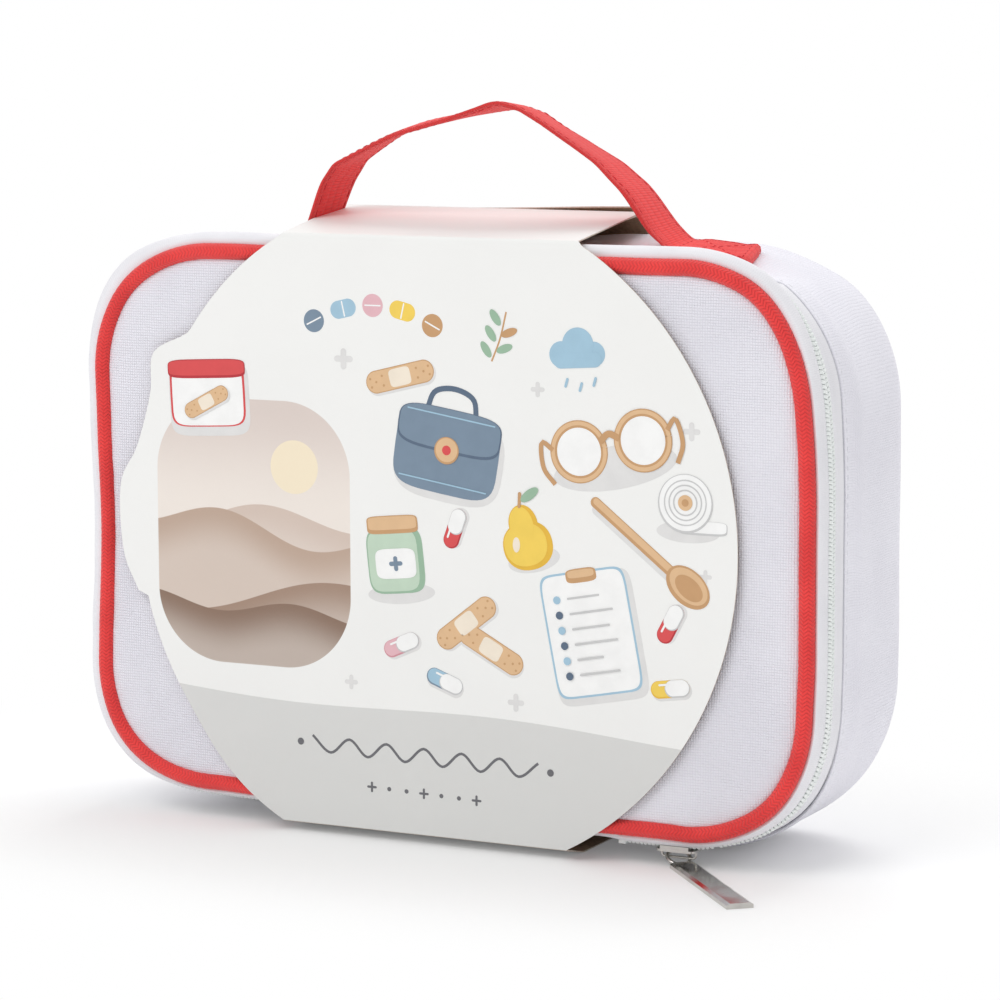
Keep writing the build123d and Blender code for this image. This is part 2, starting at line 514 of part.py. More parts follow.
def sleeve_wrap():
    """Back panel with its glue flap, and bottom panel."""
    half = CARD_THICKNESS / 2
    back_y = BACK_Y + 0.1 + half
    edge_y = SLEEVE_REAR_Y + 0.15 + half
    lip_z = SLEEVE_REAR_Z + CARD_THICKNESS + SLEEVE_LIP
    back = card_strip([(edge_y, lip_z), (back_y, lip_z - SLEEVE_SHOULDER_DROP), (back_y, half),
                       (SLEEVE_FOOT_BACK_Y, half)], (SLEEVE_TOP_BEND, SLEEVE_BOTTOM_BEND))
    back -= span_box((-BIG, BIG), (-BIG, SLEEVE_FOOT_BACK_Y), (-BIG, RIM_CENTRE_Z))
    fall = SLEEVE_SHOULDER_DROP / (back_y - edge_y) + SLEEVE_TOP_RISE / SLEEVE_TOP_DEPTH
    flap_reach = (CARD_THICKNESS + SLEEVE_LIP + half) / fall
    flap = Pos(0, 0, -CARD_THICKNESS - 0.1) * span_box(
        (-BIG, BIG), (SLEEVE_TOP_DEPTH - GLUE_FLAP, SLEEVE_TOP_DEPTH + flap_reach), (0, CARD_THICKNESS))
    flap = Pos(0, SLEEVE_BACK_FACE_Y, SLEEVE_TOP_Z) * (Rot(SLEEVE_TILT, 0, 0) * flap)
    silhouette = Polyline([(SLEEVE_REAR_LEFT, lip_z + 1), (SLEEVE_REAR_RIGHT, lip_z + 1),
                           (SLEEVE_BOTTOM_RIGHT, 0), (SLEEVE_BOTTOM_RIGHT, -1),
                           (SLEEVE_BOTTOM_LEFT, -1), (SLEEVE_BOTTOM_LEFT, 0)], close=True)
    taper = extrude(Plane(origin=(0, BACK_Y + CARD_THICKNESS * 2, 0), x_dir=(1, 0, 0), z_dir=(0, -1, 0))
                    * make_face(silhouette), CASE_DEPTH)
    crease_y = SLEEVE_BACK_FACE_Y + half + 0.1
    foot_y = SLEEVE_BACK_FACE_Y + SLEEVE_FOOT_SETBACK
    bottom = card_strip([(crease_y, SLEEVE_CREASE_HEIGHT), (foot_y, half),
                         (SLEEVE_FOOT_BACK_Y + 1, half)], SLEEVE_FOOT_BEND)
    bottom -= span_box((-BIG, BIG), (SLEEVE_FOOT_BACK_Y, BIG), (-BIG, BIG))
    bottom &= span_box((SLEEVE_BOTTOM_LEFT, SLEEVE_BOTTOM_RIGHT), (-BIG, BIG), (-BIG, BIG))
    return {"sleeve_back": (back + flap) & taper, "sleeve_bottom": bottom}


def build():
    """Every node of the case, by name."""
    return {
        **side_band(),
        **back_panel(),
        **front_panel(),
        "front_piping": front_piping(),
        **zip_chain(),
        "zip_slider": zip_slider(),
        "slider_crown": slider_crown(),
        "zip_puller": zip_puller(),
        **handle(),
        "sleeve_front": sleeve_front(),
        "sleeve_top": sleeve_top(),
        **sleeve_wrap(),
    }


os.makedirs("parts", exist_ok=True)
for name, solid in build().items():
    export_step(solid, f"parts/{name}.step")
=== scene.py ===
"""Looks of a soft zip-up doctor case in its card sleeve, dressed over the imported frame.

Lengths are in metres in the part's own frame: X to the right, Y to the back, Z up.
"""

from __future__ import annotations

import logging
import math
import time
from collections.abc import Callable, Iterable, Sequence
from dataclasses import dataclass
from enum import Enum

import bpy
import numpy as np
from mathutils import Matrix, Vector, noise

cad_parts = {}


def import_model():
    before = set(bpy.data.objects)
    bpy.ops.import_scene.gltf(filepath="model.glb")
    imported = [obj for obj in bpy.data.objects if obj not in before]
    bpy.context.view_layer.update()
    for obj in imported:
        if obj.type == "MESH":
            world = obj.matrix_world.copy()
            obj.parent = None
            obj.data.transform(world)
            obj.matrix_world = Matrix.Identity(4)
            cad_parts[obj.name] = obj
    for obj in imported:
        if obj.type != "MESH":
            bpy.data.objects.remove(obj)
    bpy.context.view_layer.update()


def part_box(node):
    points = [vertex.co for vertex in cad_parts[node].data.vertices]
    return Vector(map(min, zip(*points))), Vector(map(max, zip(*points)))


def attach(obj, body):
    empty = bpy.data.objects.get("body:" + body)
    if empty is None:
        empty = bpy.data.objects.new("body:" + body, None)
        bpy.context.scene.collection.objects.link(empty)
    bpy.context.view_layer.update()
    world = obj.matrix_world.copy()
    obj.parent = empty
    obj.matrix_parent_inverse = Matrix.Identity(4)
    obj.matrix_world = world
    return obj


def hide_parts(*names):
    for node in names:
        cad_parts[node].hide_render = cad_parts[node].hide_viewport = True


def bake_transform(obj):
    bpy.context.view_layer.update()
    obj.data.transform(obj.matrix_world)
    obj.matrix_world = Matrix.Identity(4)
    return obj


LOG = logging.getLogger("doctor_case")
MM = 0.001
PRINT_BLUR = 0.12 * MM
STITCH_STEP = 3.0 * MM
ORIGIN = (0.0, 0.0, 0.0)
UP = Vector((0, 0, 1))
BACK = Vector((0, 1, 0))
Pair = tuple[float, float]
Triple = tuple[float, float, float]
Colour = tuple[float, float, float, float]
Array = np.ndarray
Surface = Callable[[Array, Array], Array]
Piece = bpy.types.Object
Material = bpy.types.Material
Tree = bpy.types.NodeTree
Node = bpy.types.Node
Socket = bpy.types.NodeSocket
Value = float | Socket


# --- colours
def ink(red: int, green: int, blue: int) -> Colour:
    """Colour that a shader takes, from the numbers seen on a screen.

    Args:
        red: 0 to 255.
        green: 0 to 255.
        blue: 0 to 255.

    Returns:
        Linear red, green and blue with full alpha.
    """
    linear = [((c / 255 + 0.055) / 1.055) ** 2.4 if c > 10 else c / 255 / 12.92 for c in (red, green, blue)]
    return (*linear, 1.0)


class Ink(Enum):
    """Printing inks of the sleeve's pictures."""

    SLATE = ink(126, 145, 164)
    DEEP_SLATE = ink(96, 113, 134)
    SKY = ink(166, 200, 220)
    ROSE = ink(232, 186, 194)
    DEEP_ROSE = ink(214, 150, 160)
    CREAM = ink(246, 234, 216)
    TAN = ink(228, 190, 148)
    OAK = ink(204, 160, 116)
    SUN = ink(247, 212, 96)
    DEEP_SUN = ink(234, 188, 70)
    RED = ink(222, 84, 86)
    DEEP_RED = ink(190, 58, 66)
    MINT = ink(198, 219, 198)
    DEEP_MINT = ink(158, 190, 164)
    GREY = ink(206, 206, 206)
    DARK = ink(112, 112, 116)
    WHITE = ink(250, 250, 249)
    SHADE = ink(228, 227, 226)


# --- working on meshes
def select_only(*pieces: Piece) -> None:
    """Selects these pieces alone, the first one active."""
    bpy.ops.object.select_all(action="DESELECT")
    for piece in pieces:
        piece.select_set(True)
    bpy.context.view_layer.objects.active = pieces[0]


class EditMode:
    """Edit mode on one piece, with everything or nothing selected at its start."""

    def __init__(self, piece: Piece, select: str = "SELECT") -> None:
        """Keeps the piece and the first selection."""
        self.piece = piece
        self.select = select

    def __enter__(self) -> Piece:
        """Opens edit mode."""
        select_only(self.piece)
        bpy.ops.object.mode_set(mode="EDIT")
        bpy.ops.mesh.select_all(action=self.select)
        return self.piece

    def __exit__(self, *_: object) -> None:
        """Closes edit mode."""
        bpy.ops.object.mode_set(mode="OBJECT")


def points_of(piece: Piece) -> Array:
    """Reads a mesh's points as rows of x, y and z."""
    flat = np.empty(len(piece.data.vertices) * 3)
    piece.data.vertices.foreach_get("co", flat)
    return flat.reshape(-1, 3)


def set_points(piece: Piece, points: Array) -> None:
    """Moves a mesh's points to new places."""
    piece.data.vertices.foreach_set("co", np.ascontiguousarray(points, dtype=np.float64).ravel())
    piece.data.update()


def named(piece: Piece, name: str) -> Piece:
    """Names a piece and its mesh."""
    piece.name = name
    piece.data.name = name
    return piece


def apply_modifier(piece: Piece, kind: str, **settings: object) -> Piece:
    """Adds one modifier with its settings and applies it.

    Args:
        piece: The mesh to work on.
        kind: Blender's name of the modifier.
        **settings: The modifier's own properties.

    Returns:
        The same piece.
    """
    select_only(piece)
    modifier = piece.modifiers.new(kind.title(), kind)
    for key, value in settings.items():
        setattr(modifier, key, value)
    bpy.ops.object.modifier_apply(modifier=modifier.name)
    return piece


def thickened(piece: Piece, thickness: float, offset: float = 0.0) -> Piece:
    """Gives a sheet its thickness, outward where the offset is 1 and inward where it is -1."""
    return apply_modifier(piece, "SOLIDIFY", thickness=thickness, offset=offset)


def smooth(piece: Piece, angle: float = 40.0) -> Piece:
    """Shades a piece smoothly, apart from edges sharper than the angle in degrees."""
    select_only(piece)
    bpy.ops.object.shade_smooth_by_angle(angle=math.radians(angle))
    return piece


def closed_up(piece: Piece, threshold: float = 1e-6) -> Piece:
    """Merges doubled points and turns every face outward."""
    with EditMode(piece):
        bpy.ops.mesh.remove_doubles(threshold=threshold)
        bpy.ops.mesh.normals_make_consistent(inside=False)
    return piece


def join(name: str, pieces: Sequence[Piece]) -> Piece:
    """Joins pieces into one mesh under a new name."""
    select_only(*pieces)
    if len(pieces) > 1:
        bpy.ops.object.join()
    return named(bpy.context.view_layer.objects.active, name)


def rows(*columns: Array | float) -> Array:
    """Columns side by side as rows, plain numbers repeated."""
    return np.stack(np.broadcast_arrays(*columns), axis=-1)


def oval(angle: Array, wide_power: float = 1.0, high_power: float = 1.0) -> tuple[Array, Array]:
    """Unit ellipse at angles, squarer where the powers are below 1."""
    cosine, sine = np.cos(angle), np.sin(angle)
    return np.sign(cosine) * np.abs(cosine) ** wide_power, np.sign(sine) * np.abs(sine) ** high_power


def laid_grid(name: str, columns: int, rows: int, surface: Surface, cloth: Pair) -> Piece:
    """Lays a grid of quads over a surface, with a UV map in metres of cloth.

    Args:
        name: The piece's name.
        columns: Quads along the first direction.
        rows: Quads along the second direction.
        surface: Gives points from the shares along both directions.
        cloth: Lengths of the surface along both directions.

    Returns:
        The open or closed sheet, its doubled points merged.
    """
    bpy.ops.object.select_all(action="DESELECT")
    bpy.ops.mesh.primitive_grid_add(x_subdivisions=columns, y_subdivisions=rows, size=2)
    piece = named(bpy.context.active_object, name)
    shares = (points_of(piece) + 1) / 2
    set_points(piece, surface(shares[:, 0], shares[:, 1]))
    layer = piece.data.uv_layers.active
    flat = np.empty(len(layer.data) * 2)
    layer.data.foreach_get("uv", flat)
    flat = flat.reshape(-1, 2) * np.array(cloth)
    layer.data.foreach_set("uv", flat.ravel())
    return closed_up(piece)


def mesh_copies(name: str, template: Piece, centres: Array, axes: Array) -> Piece:
    """Repeats a small template many times as one mesh and removes the template.

    Args:
        name: The new piece's name.
        template: The mesh to repeat, round the origin.
        centres: Where each copy lies, one row each.
        axes: For each copy, three rows with its own x, y and z directions.

    Returns:
        One mesh that holds every copy.
    """
    points = points_of(template)
    faces = [list(face.vertices) for face in template.data.polygons]
    placed = centres[:, None, :] + np.einsum("pk,nkc->npc", points, axes)
    every = [[i + n * len(points) for i in face] for n in range(len(centres)) for face in faces]
    mesh = bpy.data.meshes.new(name)
    mesh.from_pydata(placed.reshape(-1, 3).tolist(), [], every)
    mesh.update()
    piece = bpy.data.objects.new(name, mesh)
    bpy.context.scene.collection.objects.link(piece)
    bpy.data.objects.remove(template)
    return piece


def unevenness(points: Array, size: float, seed: int) -> Array:
    """Gentle random height at each point, from -1 to 1.

    Args:
        points: Rows of x, y and z.
        size: Distance over which the height changes.
        seed: Shifts the pattern.

    Returns:
        One height for each row.
    """
    shift = Vector((seed * 7.31, seed * 3.17, seed * 5.71))
    return np.array([noise.noise(Vector(p) / size + shift) for p in points])


def ease(value: Array | float, start: float, end: float) -> Array:
    """Smooth step from 0 at start to 1 at end."""
    share = np.clip((np.asarray(value, float) - start) / (end - start), 0, 1)
    return share * share * (3 - 2 * share)


def rounded_route(corners: Sequence[Pair], radii: Sequence[float], step: float) -> Array:
    """Polyline in a plane with its corners rounded by tangent arcs.

    Args:
        corners: Points of the route.
        radii: One radius for each corner between the ends.
        step: Distance between points along the arcs and runs.

    Returns:
        Rows of two coordinates.
    """
    points = [np.array(c, float) for c in corners]
    route = [points[0]]
    for before, corner, after, radius in zip(points, points[1:], points[2:], radii):
        into = (corner - before) / np.linalg.norm(corner - before)
        out = (after - corner) / np.linalg.norm(after - corner)
        turn = math.acos(float(np.clip(into @ out, -1, 1)))
        reach = radius * math.tan(turn / 2)
        start = corner - into * reach
        side = np.array([-into[1], into[0]]) * math.copysign(1, into[0] * out[1] - into[1] * out[0])
        centre = start + side * radius
        route += straight(route[-1], start, step)
        for angle in np.linspace(0, turn, max(3, int(radius * turn / step) + 1))[1:]:
            route.append(centre - side * radius * math.cos(angle) + into * radius * math.sin(angle))
    return np.array(route + straight(route[-1], points[-1], step))


def straight(start: Array, end: Array, step: float) -> list[Array]:
    """Points of a straight run after its start, evenly spaced."""
    count = max(1, int(np.linalg.norm(end - start) / step))
    return [start + (end - start) * k / count for k in range(1, count + 1)]


def along(route: Array, share: Array) -> tuple[Array, Array]:
    """Points and left-hand normals at shares of a planar route's length.

    Args:
        route: Rows of two coordinates.
        share: Shares of the length, 0 to 1.

    Returns:
        Points and unit normals, two coordinates each.
    """
    lengths = lengths_to(route)
    at = np.asarray(share) * lengths[-1]
    point = np.stack([np.interp(at, lengths, route[:, k]) for k in range(2)], axis=-1)
    slope = np.gradient(route, lengths, axis=0)
    tangent = np.stack([np.interp(at, lengths, slope[:, k]) for k in range(2)], axis=-1)
    tangent /= np.linalg.norm(tangent, axis=-1, keepdims=True)
    return point, np.stack([-tangent[..., 1], tangent[..., 0]], axis=-1)


def steps_of(route: Array) -> Array:
    """Distances between a route's points."""
    return np.linalg.norm(np.diff(route, axis=0), axis=1)


def lengths_to(route: Array) -> Array:
    """Length from the route's start to each of its points."""
    return np.concatenate([[0], np.cumsum(steps_of(route))])


def length_of(route: Array) -> float:
    """Length of a route of points."""
    return float(steps_of(route).sum())


# --- shader nodes
class NodeSheet:
    """Adds and links the nodes of one material or node group."""

    def __init__(self, tree: Tree) -> None:
        """Keeps the node tree."""
        self.tree = tree

    def add(self, kind: str, feeds: dict[str | int, object] | None = None, **settings: object) -> Node:
        """Adds a node.

        Args:
            kind: Its type's name after ShaderNode.
            feeds: What each input takes, by the input's name or number.
            **settings: The node's own properties.

        Returns:
            The node.
        """
        node = self.tree.nodes.new("ShaderNode" + kind)
        for key, value in settings.items():
            setattr(node, key, value)
        for socket, value in (feeds or {}).items():
            self.feed(node.inputs[socket], value)
        return node

    def feed(self, socket: Socket, value: object) -> None:
        """Links a socket to another, or sets its plain value."""
        if isinstance(value, Socket):
            self.tree.links.new(value, socket)
        else:
            socket.default_value = value

    def math(self, operation: str, first: Value, second: Value = 0.0) -> Socket:
        """Result of a Math node."""
        return self.add("Math", {0: first, 1: second}, operation=operation).outputs[0]

    def times(self, first: Value, second: Value) -> Socket:
        """Product of two numbers."""
        return self.math("MULTIPLY", first, second)

    def plus(self, first: Value, second: Value) -> Socket:
        """Sum of two numbers."""
        return self.math("ADD", first, second)

    def ridge(self, value: Value) -> Socket:
        """Rounded ridge over every whole step of a number, 0 at the steps and 1 between them."""
        return self.math("SINE", self.times(self.math("FRACT", value), math.pi))

    def minus(self, first: Value, second: Value) -> Socket:
        """Difference of two numbers."""
        return self.math("SUBTRACT", first, second)

    def mix(self, share: Value, first: object, second: object, blend: str = "MIX") -> Socket:
        """Colour between two others."""
        feeds = {"Factor": share, 6: first, 7: second}
        return self.add("Mix", feeds, data_type="RGBA", blend_type=blend).outputs[2]

    def between(self, share: Value, first: Value, second: Value) -> Socket:
        """Number between two others."""
        return self.add("Mix", {"Factor": share, 2: first, 3: second}, data_type="FLOAT").outputs[0]

    def remap(self, value: Value, start: float, end: float, low: float = 0.0, high: float = 1.0) -> Socket:
        """Value moved smoothly from one range to another, held at its ends."""
        feeds = dict(enumerate((value, start, end, low, high)))
        return self.add("MapRange", feeds, interpolation_type="SMOOTHSTEP").outputs[0]

    def split(self, vector: Socket) -> tuple[Socket, ...]:
        """X, Y and Z of a vector."""
        return tuple(self.add("SeparateXYZ", {0: vector}).outputs)

    def noise(self, vector: Socket, scale: Value, detail: float = 2.0) -> Socket:
        """Cloudy value round a half."""
        return self.add("TexNoise", {"Vector": vector, "Scale": scale, "Detail": detail}).outputs["Fac"]

    def group(self, tree: Tree, **values: object) -> Node:
        """Places a shared node group with its values."""
        feeds = {key.replace("_", " "): value for key, value in values.items()}
        return self.add("Group", feeds, node_tree=tree)

    def bump(self, height: Socket, distance: float) -> Socket:
        """Normal from a height."""
        return self.add("Bump", {"Distance": distance, "Height": height}).outputs["Normal"]


def new_group(name: str, inputs: dict[str, float | None],
              outputs: Sequence[str]) -> tuple[NodeSheet, dict[str, Socket], dict[str, Socket]]:
    """Starts a shared node group.

    Args:
        name: The group's name.
        inputs: Each input's name and default, a number, or None for a vector.
        outputs: Each output's name; all are numbers.

    Returns:
        The sheet, the input sockets inside and the output sockets inside, by name.
    """
    tree = bpy.data.node_groups.new(name, "ShaderNodeTree")
    for key, default in inputs.items():
        kind = "NodeSocketVector" if default is None else "NodeSocketFloat"
        socket = tree.interface.new_socket(key, in_out="INPUT", socket_type=kind)
        if default is not None:
            socket.default_value = default
    for key in outputs:
        tree.interface.new_socket(key, in_out="OUTPUT", socket_type="NodeSocketFloat")
    inside, outside = tree.nodes.new("NodeGroupInput"), tree.nodes.new("NodeGroupOutput")
    return NodeSheet(tree), dict(inside.outputs.items()), dict(outside.inputs.items())


def thread_group(name: str, inputs: dict[str, float],
                 height: Callable[[NodeSheet, dict[str, Socket]], Socket]) -> Tree:
    """Shared pattern of threads: their height, and the gap beside them.

    Args:
        name: The group's name.
        inputs: Each number that it takes, with its default.
        height: Builds the height on the group's sheet from its inputs.

    Returns:
        The group.
    """
    sheet, given, result = new_group(name, {"Vector": None, **inputs}, ("Height", "Gap"))
    raised = height(sheet, given)
    sheet.feed(result["Height"], raised)
    sheet.feed(result["Gap"], sheet.minus(1.0, raised))
    return sheet.tree


def weave(sheet: NodeSheet, given: dict[str, Socket]) -> Socket:
    """Plain weave: warp and weft pass over each other in turn."""
    across, down, _ = sheet.split(given["Vector"])
    wander = sheet.times(sheet.minus(sheet.noise(given["Vector"], 90.0), 0.5),
                         sheet.times(given["Pitch"], given["Drift"]))
    cells, ridges = [], []
    for axis in (across, down):
        scaled = sheet.math("DIVIDE", sheet.plus(axis, sheet.times(wander, 6.0)), given["Pitch"])
        cells.append(sheet.math("FLOOR", scaled))
        ridges.append(sheet.ridge(scaled))
    over = sheet.math("FLOORED_MODULO", sheet.plus(*cells), 2.0)
    threads = [sheet.times(sheet.math("SQRT", ridge), sheet.between(other, 0.55, 1.0))
               for ridge, other in (ridges, ridges[::-1])]
    return sheet.between(over, *threads)


def braid(sheet: NodeSheet, given: dict[str, Socket]) -> Socket:
    """Herringbone braid: slanted strands whose slant turns from column to column."""
    run, girth, _ = sheet.split(given["Vector"])
    column = sheet.math("DIVIDE", girth, given["Column"])
    fold = sheet.math("PINGPONG", column, 1.0)
    strand = sheet.plus(sheet.math("DIVIDE", run, given["Pitch"]), sheet.times(fold, given["Slant"]))
    return sheet.times(sheet.math("SQRT", sheet.ridge(strand)), sheet.between(sheet.ridge(column), 0.7, 1.0))


def mottle_group() -> Tree:
    """Soft cloudy unevenness of colour, and fine grain."""
    sheet, given, result = new_group("mottle", {"Vector": None, "Cloud Scale": 25.0, "Grain Scale": 900.0},
                                     ("Cloud", "Grain"))
    for key, detail in (("Cloud", 3.0), ("Grain", 1.0)):
        sheet.feed(result[key], sheet.noise(given["Vector"], given[key + " Scale"], detail))
    return sheet.tree


@dataclass
class Effects:
    """Node groups that several finishes share."""

    weave: Tree
    braid: Tree
    mottle: Tree

    @classmethod
    def build(cls) -> Effects:
        """Builds each group once."""
        woven = thread_group("plain_weave", {"Pitch": 0.0009, "Drift": 0.15}, weave)
        braided = thread_group("braid", {"Pitch": 0.0015, "Column": 0.002, "Slant": 1.0}, braid)
        return cls(woven, braided, mottle_group())


class Lay(Enum):
    """What a pattern's coordinates follow."""

    CLOTH = "UV"
    PLACE = "Object"


class Look:
    """A material in the making: its shader, its coordinates and the mottle over it."""

    def __init__(self, name: str, effects: Effects, scales: Pair, lay: Lay = Lay.PLACE,
                 turned: float = 0.0, **surface: object) -> None:
        """Starts the material.

        Args:
            name: The material's name.
            effects: The shared node groups.
            scales: Scale of the mottle's clouds and of its grain.
            lay: What the coordinates follow.
            turned: Turn of the coordinates about X.
            **surface: Plain values of the shader's sockets, spaces in their names as underscores.
        """
        self.material = bpy.data.materials.new(name)
        self.material.use_nodes = True
        self.sheet = NodeSheet(self.material.node_tree)
        self.shader = self.material.node_tree.nodes["Principled BSDF"]
        for key, value in surface.items():
            self.shader.inputs[key.replace("_", " ")].default_value = value
        vector = self.sheet.add("TexCoord").outputs[lay.value]
        if turned:
            vector = self.sheet.add("Mapping", {"Vector": vector, "Rotation": (turned, 0, 0)}).outputs[0]
        mottle = self.sheet.group(effects.mottle, Vector=vector, Cloud_Scale=scales[0], Grain_Scale=scales[1])
        self.vector, self.cloud, self.grain = vector, mottle.outputs["Cloud"], mottle.outputs["Grain"]

    def clouds(self, low: float, high: float) -> Socket:
        """The mottle's clouds between two values."""
        return self.sheet.remap(self.cloud, 0.3, 0.7, low, high)

    def finish(self, colour: Socket, height: Socket, relief: float, gloss: Pair | None = None) -> Material:
        """Feeds the shader.

        Args:
            colour: The base colour.
            height: Height of the relief.
            relief: How far it stands out.
            gloss: Range of the roughness, or None where it is the same all over.

        Returns:
            The finished material.
        """
        self.sheet.feed(self.shader.inputs["Base Color"], colour)
        self.sheet.feed(self.shader.inputs["Normal"], self.sheet.bump(height, relief))
        if gloss:
            self.sheet.feed(self.shader.inputs["Roughness"], self.clouds(*gloss))
        return self.material

    def coated(self, colour: Socket, tint: float) -> Material:
        """Finishes a print under a light coating, faintly tinted."""
        tinted = self.sheet.mix(self.clouds(0.0, tint), colour, Ink.GREY.value, "MULTIPLY")
        return self.finish(tinted, self.grain, 0.012 * MM, (0.42, 0.52))


@dataclass(frozen=True)
class Textile:
    """Woven cloth, or a braided cord or ribbed tape where it has columns."""

    name: str
    colour: Colour
    gap_colour: Colour
    pitch: float
    relief: float
    roughness: float = 0.85
    sheen: float = 0.25
    gap_share: float = 0.5
    lay: Lay = Lay.CLOTH
    column: float = 0.0
    slant: float = 1.0

    def material(self, effects: Effects) -> Material:
        """Threads in colour and relief over a soft mottle.

        Args:
            effects: The shared node groups.

        Returns:
            The finished material.
        """
        braided = self.column > 0
        look = Look(self.name, effects, (60.0, 2500.0) if braided else (22.0, 1400.0), self.lay,
                    math.pi / 2 if self.lay is Lay.PLACE else 0.0, Roughness=self.roughness,
                    Sheen_Weight=self.sheen, Sheen_Roughness=0.5, Specular_IOR_Level=0.3 if braided else 0.25)
        sheet = look.sheet
        if braided:
            threads = sheet.group(effects.braid, Vector=look.vector, Pitch=self.pitch, Column=self.column,
                                  Slant=self.slant)
        else:
            threads = sheet.group(effects.weave, Vector=look.vector, Pitch=self.pitch)
        colour = sheet.mix(sheet.times(threads.outputs["Gap"], self.gap_share), self.colour, self.gap_colour)
        colour = sheet.mix(look.clouds(0.0, 0.25 if braided else 0.22), colour, self.gap_colour)
        height = sheet.plus(threads.outputs["Height"], sheet.times(look.grain, 0.25 if braided else 0.35))
        return look.finish(colour, height, self.relief)


@dataclass(frozen=True)
class Solid:
    """Plain stuff with a fine grain: thread, board, foam, plastic or card."""

    name: str
    colour: Colour
    shade: Colour
    roughness: float
    grain: float = 1500.0
    relief: float = 0.05 * MM
    cloud: float = 40.0
    sheen: float = 0.0

    def material(self, effects: Effects) -> Material:
        """Mottled colour with a fine relief."""
        scales = (self.cloud, self.grain)
        look = Look(self.name, effects, scales, Sheen_Weight=self.sheen, Specular_IOR_Level=0.4)
        share = look.sheet.remap(look.sheet.times(look.sheet.plus(look.cloud, look.grain), 0.5), 0.35, 0.65)
        return look.finish(look.sheet.mix(share, self.colour, self.shade), look.grain, self.relief,
                           (self.roughness - 0.06, self.roughness + 0.06))


@dataclass(frozen=True)
class Chrome:
    """Bright plated metal with faint rub marks."""

    name: str = "bright_chrome"
    colour: Colour = ink(214, 212, 208)
    shade: Colour = ink(176, 173, 168)

    def material(self, effects: Effects) -> Material:
        """Metal whose gloss and tone vary a little."""
        look = Look(self.name, effects, (160.0, 2200.0), Metallic=1.0)
        colour = look.sheet.mix(look.cloud, self.colour, self.shade)
        return look.finish(colour, look.grain, 0.01 * MM, (0.1, 0.22))


@dataclass(frozen=True)
class Wave:
    """Wavy line across a picture: height, slope, swing, length and shift."""

    height: float
    slope: float
    swing: float
    length: float
    shift: float

    def under(self, sheet: NodeSheet, x: Socket, up: Socket) -> tuple[Socket, Socket]:
        """Mask of what lies under the line, and the height over it.

        Args:
            sheet: The material's nodes.
            x: Place across.
            up: Height.

        Returns:
            The mask and the height over the line.
        """
        swing = sheet.math("SINE", sheet.plus(sheet.math("DIVIDE", x, self.length), self.shift))
        line = sheet.plus(sheet.times(swing, self.swing), sheet.plus(sheet.times(x, self.slope), self.height))
        over = sheet.minus(up, line)
        return sheet.remap(over, PRINT_BLUR, -PRINT_BLUR), over


@dataclass(frozen=True)
class PrintedCard:
    """Coated white card: pale grey foot, and on its front a rounded window of misty hills."""

    centre_z: float
    name: str = "printed_card"
    paper: Colour = ink(244, 244, 242)
    foot: Colour = ink(219, 219, 217)
    foot_edge: Wave = Wave(-58.6 * MM, -0.03, 1.5 * MM, 26 * MM, 0.6)
    sky: Colour = ink(222, 209, 202)
    haze: Colour = ink(240, 231, 223)
    sun: Colour = ink(247, 233, 206)
    sun_place: Triple = (-52 * MM, 21 * MM, 9 * MM)
    hills: tuple[tuple[Wave, Colour], ...] = (
        (Wave(6 * MM, 0.05, 5 * MM, 13 * MM, 0.4), ink(214, 196, 184)),
        (Wave(-7 * MM, -0.10, 4.5 * MM, 11 * MM, 2.6), ink(192, 168, 151)),
        (Wave(-18 * MM, 0.08, 4 * MM, 15 * MM, 4.4), ink(166, 140, 123)),
        (Wave(-30 * MM, -0.04, 2.5 * MM, 9 * MM, 1.2), ink(142, 117, 101)))
    window: tuple[float, float, float, float] = (-68 * MM, -2 * MM, 12 * MM, 20 * MM)
    window_corner: float = 25 * MM

    def within(self, sheet: NodeSheet, x: Socket, up: Socket, box: tuple[float, float, float, float],
               corner: float) -> Socket:
        """Mask of a rounded box given by its centre and core, with a corner radius round the core."""
        squares = []
        for place, middle, half in ((x, box[0], box[2]), (up, box[1], box[3])):
            away = sheet.math("ABSOLUTE", sheet.minus(place, middle))
            past = sheet.math("MAXIMUM", sheet.minus(away, half), 0.0)
            squares.append(sheet.times(past, past))
        distance = sheet.math("SQRT", sheet.plus(*squares))
        return sheet.remap(distance, corner + PRINT_BLUR, corner - PRINT_BLUR)

    def material(self, effects: Effects) -> Material:
        """Print in layers under a light coating.

        Args:
            effects: The shared node groups.

        Returns:
            The finished material.
        """
        look = Look(self.name, effects, (26.0, 1500.0), Specular_IOR_Level=0.3)
        sheet = look.sheet
        x, y, z = sheet.split(look.vector)
        up = sheet.minus(z, self.centre_z)
        colour = sheet.mix(self.foot_edge.under(sheet, x, up)[0], self.paper, self.foot)
        picture = sheet.mix(sheet.remap(up, 6 * MM, 42 * MM), self.haze, self.sky)
        sun_x, sun_up, radius = self.sun_place
        picture = sheet.mix(self.within(sheet, x, up, (sun_x, sun_up, 0, 0), radius), picture, self.sun)
        for wave, tone in self.hills:
            mask, over = wave.under(sheet, x, up)
            misty = sheet.mix(sheet.remap(over, 0.0, -16 * MM, 0.0, 0.45), tone, self.haze)
            picture = sheet.mix(mask, picture, misty)
        inside = sheet.times(self.within(sheet, x, up, self.window, self.window_corner),
                             sheet.math("LESS_THAN", y, 0.0))
        return look.coated(sheet.mix(inside, colour, picture), 0.035)


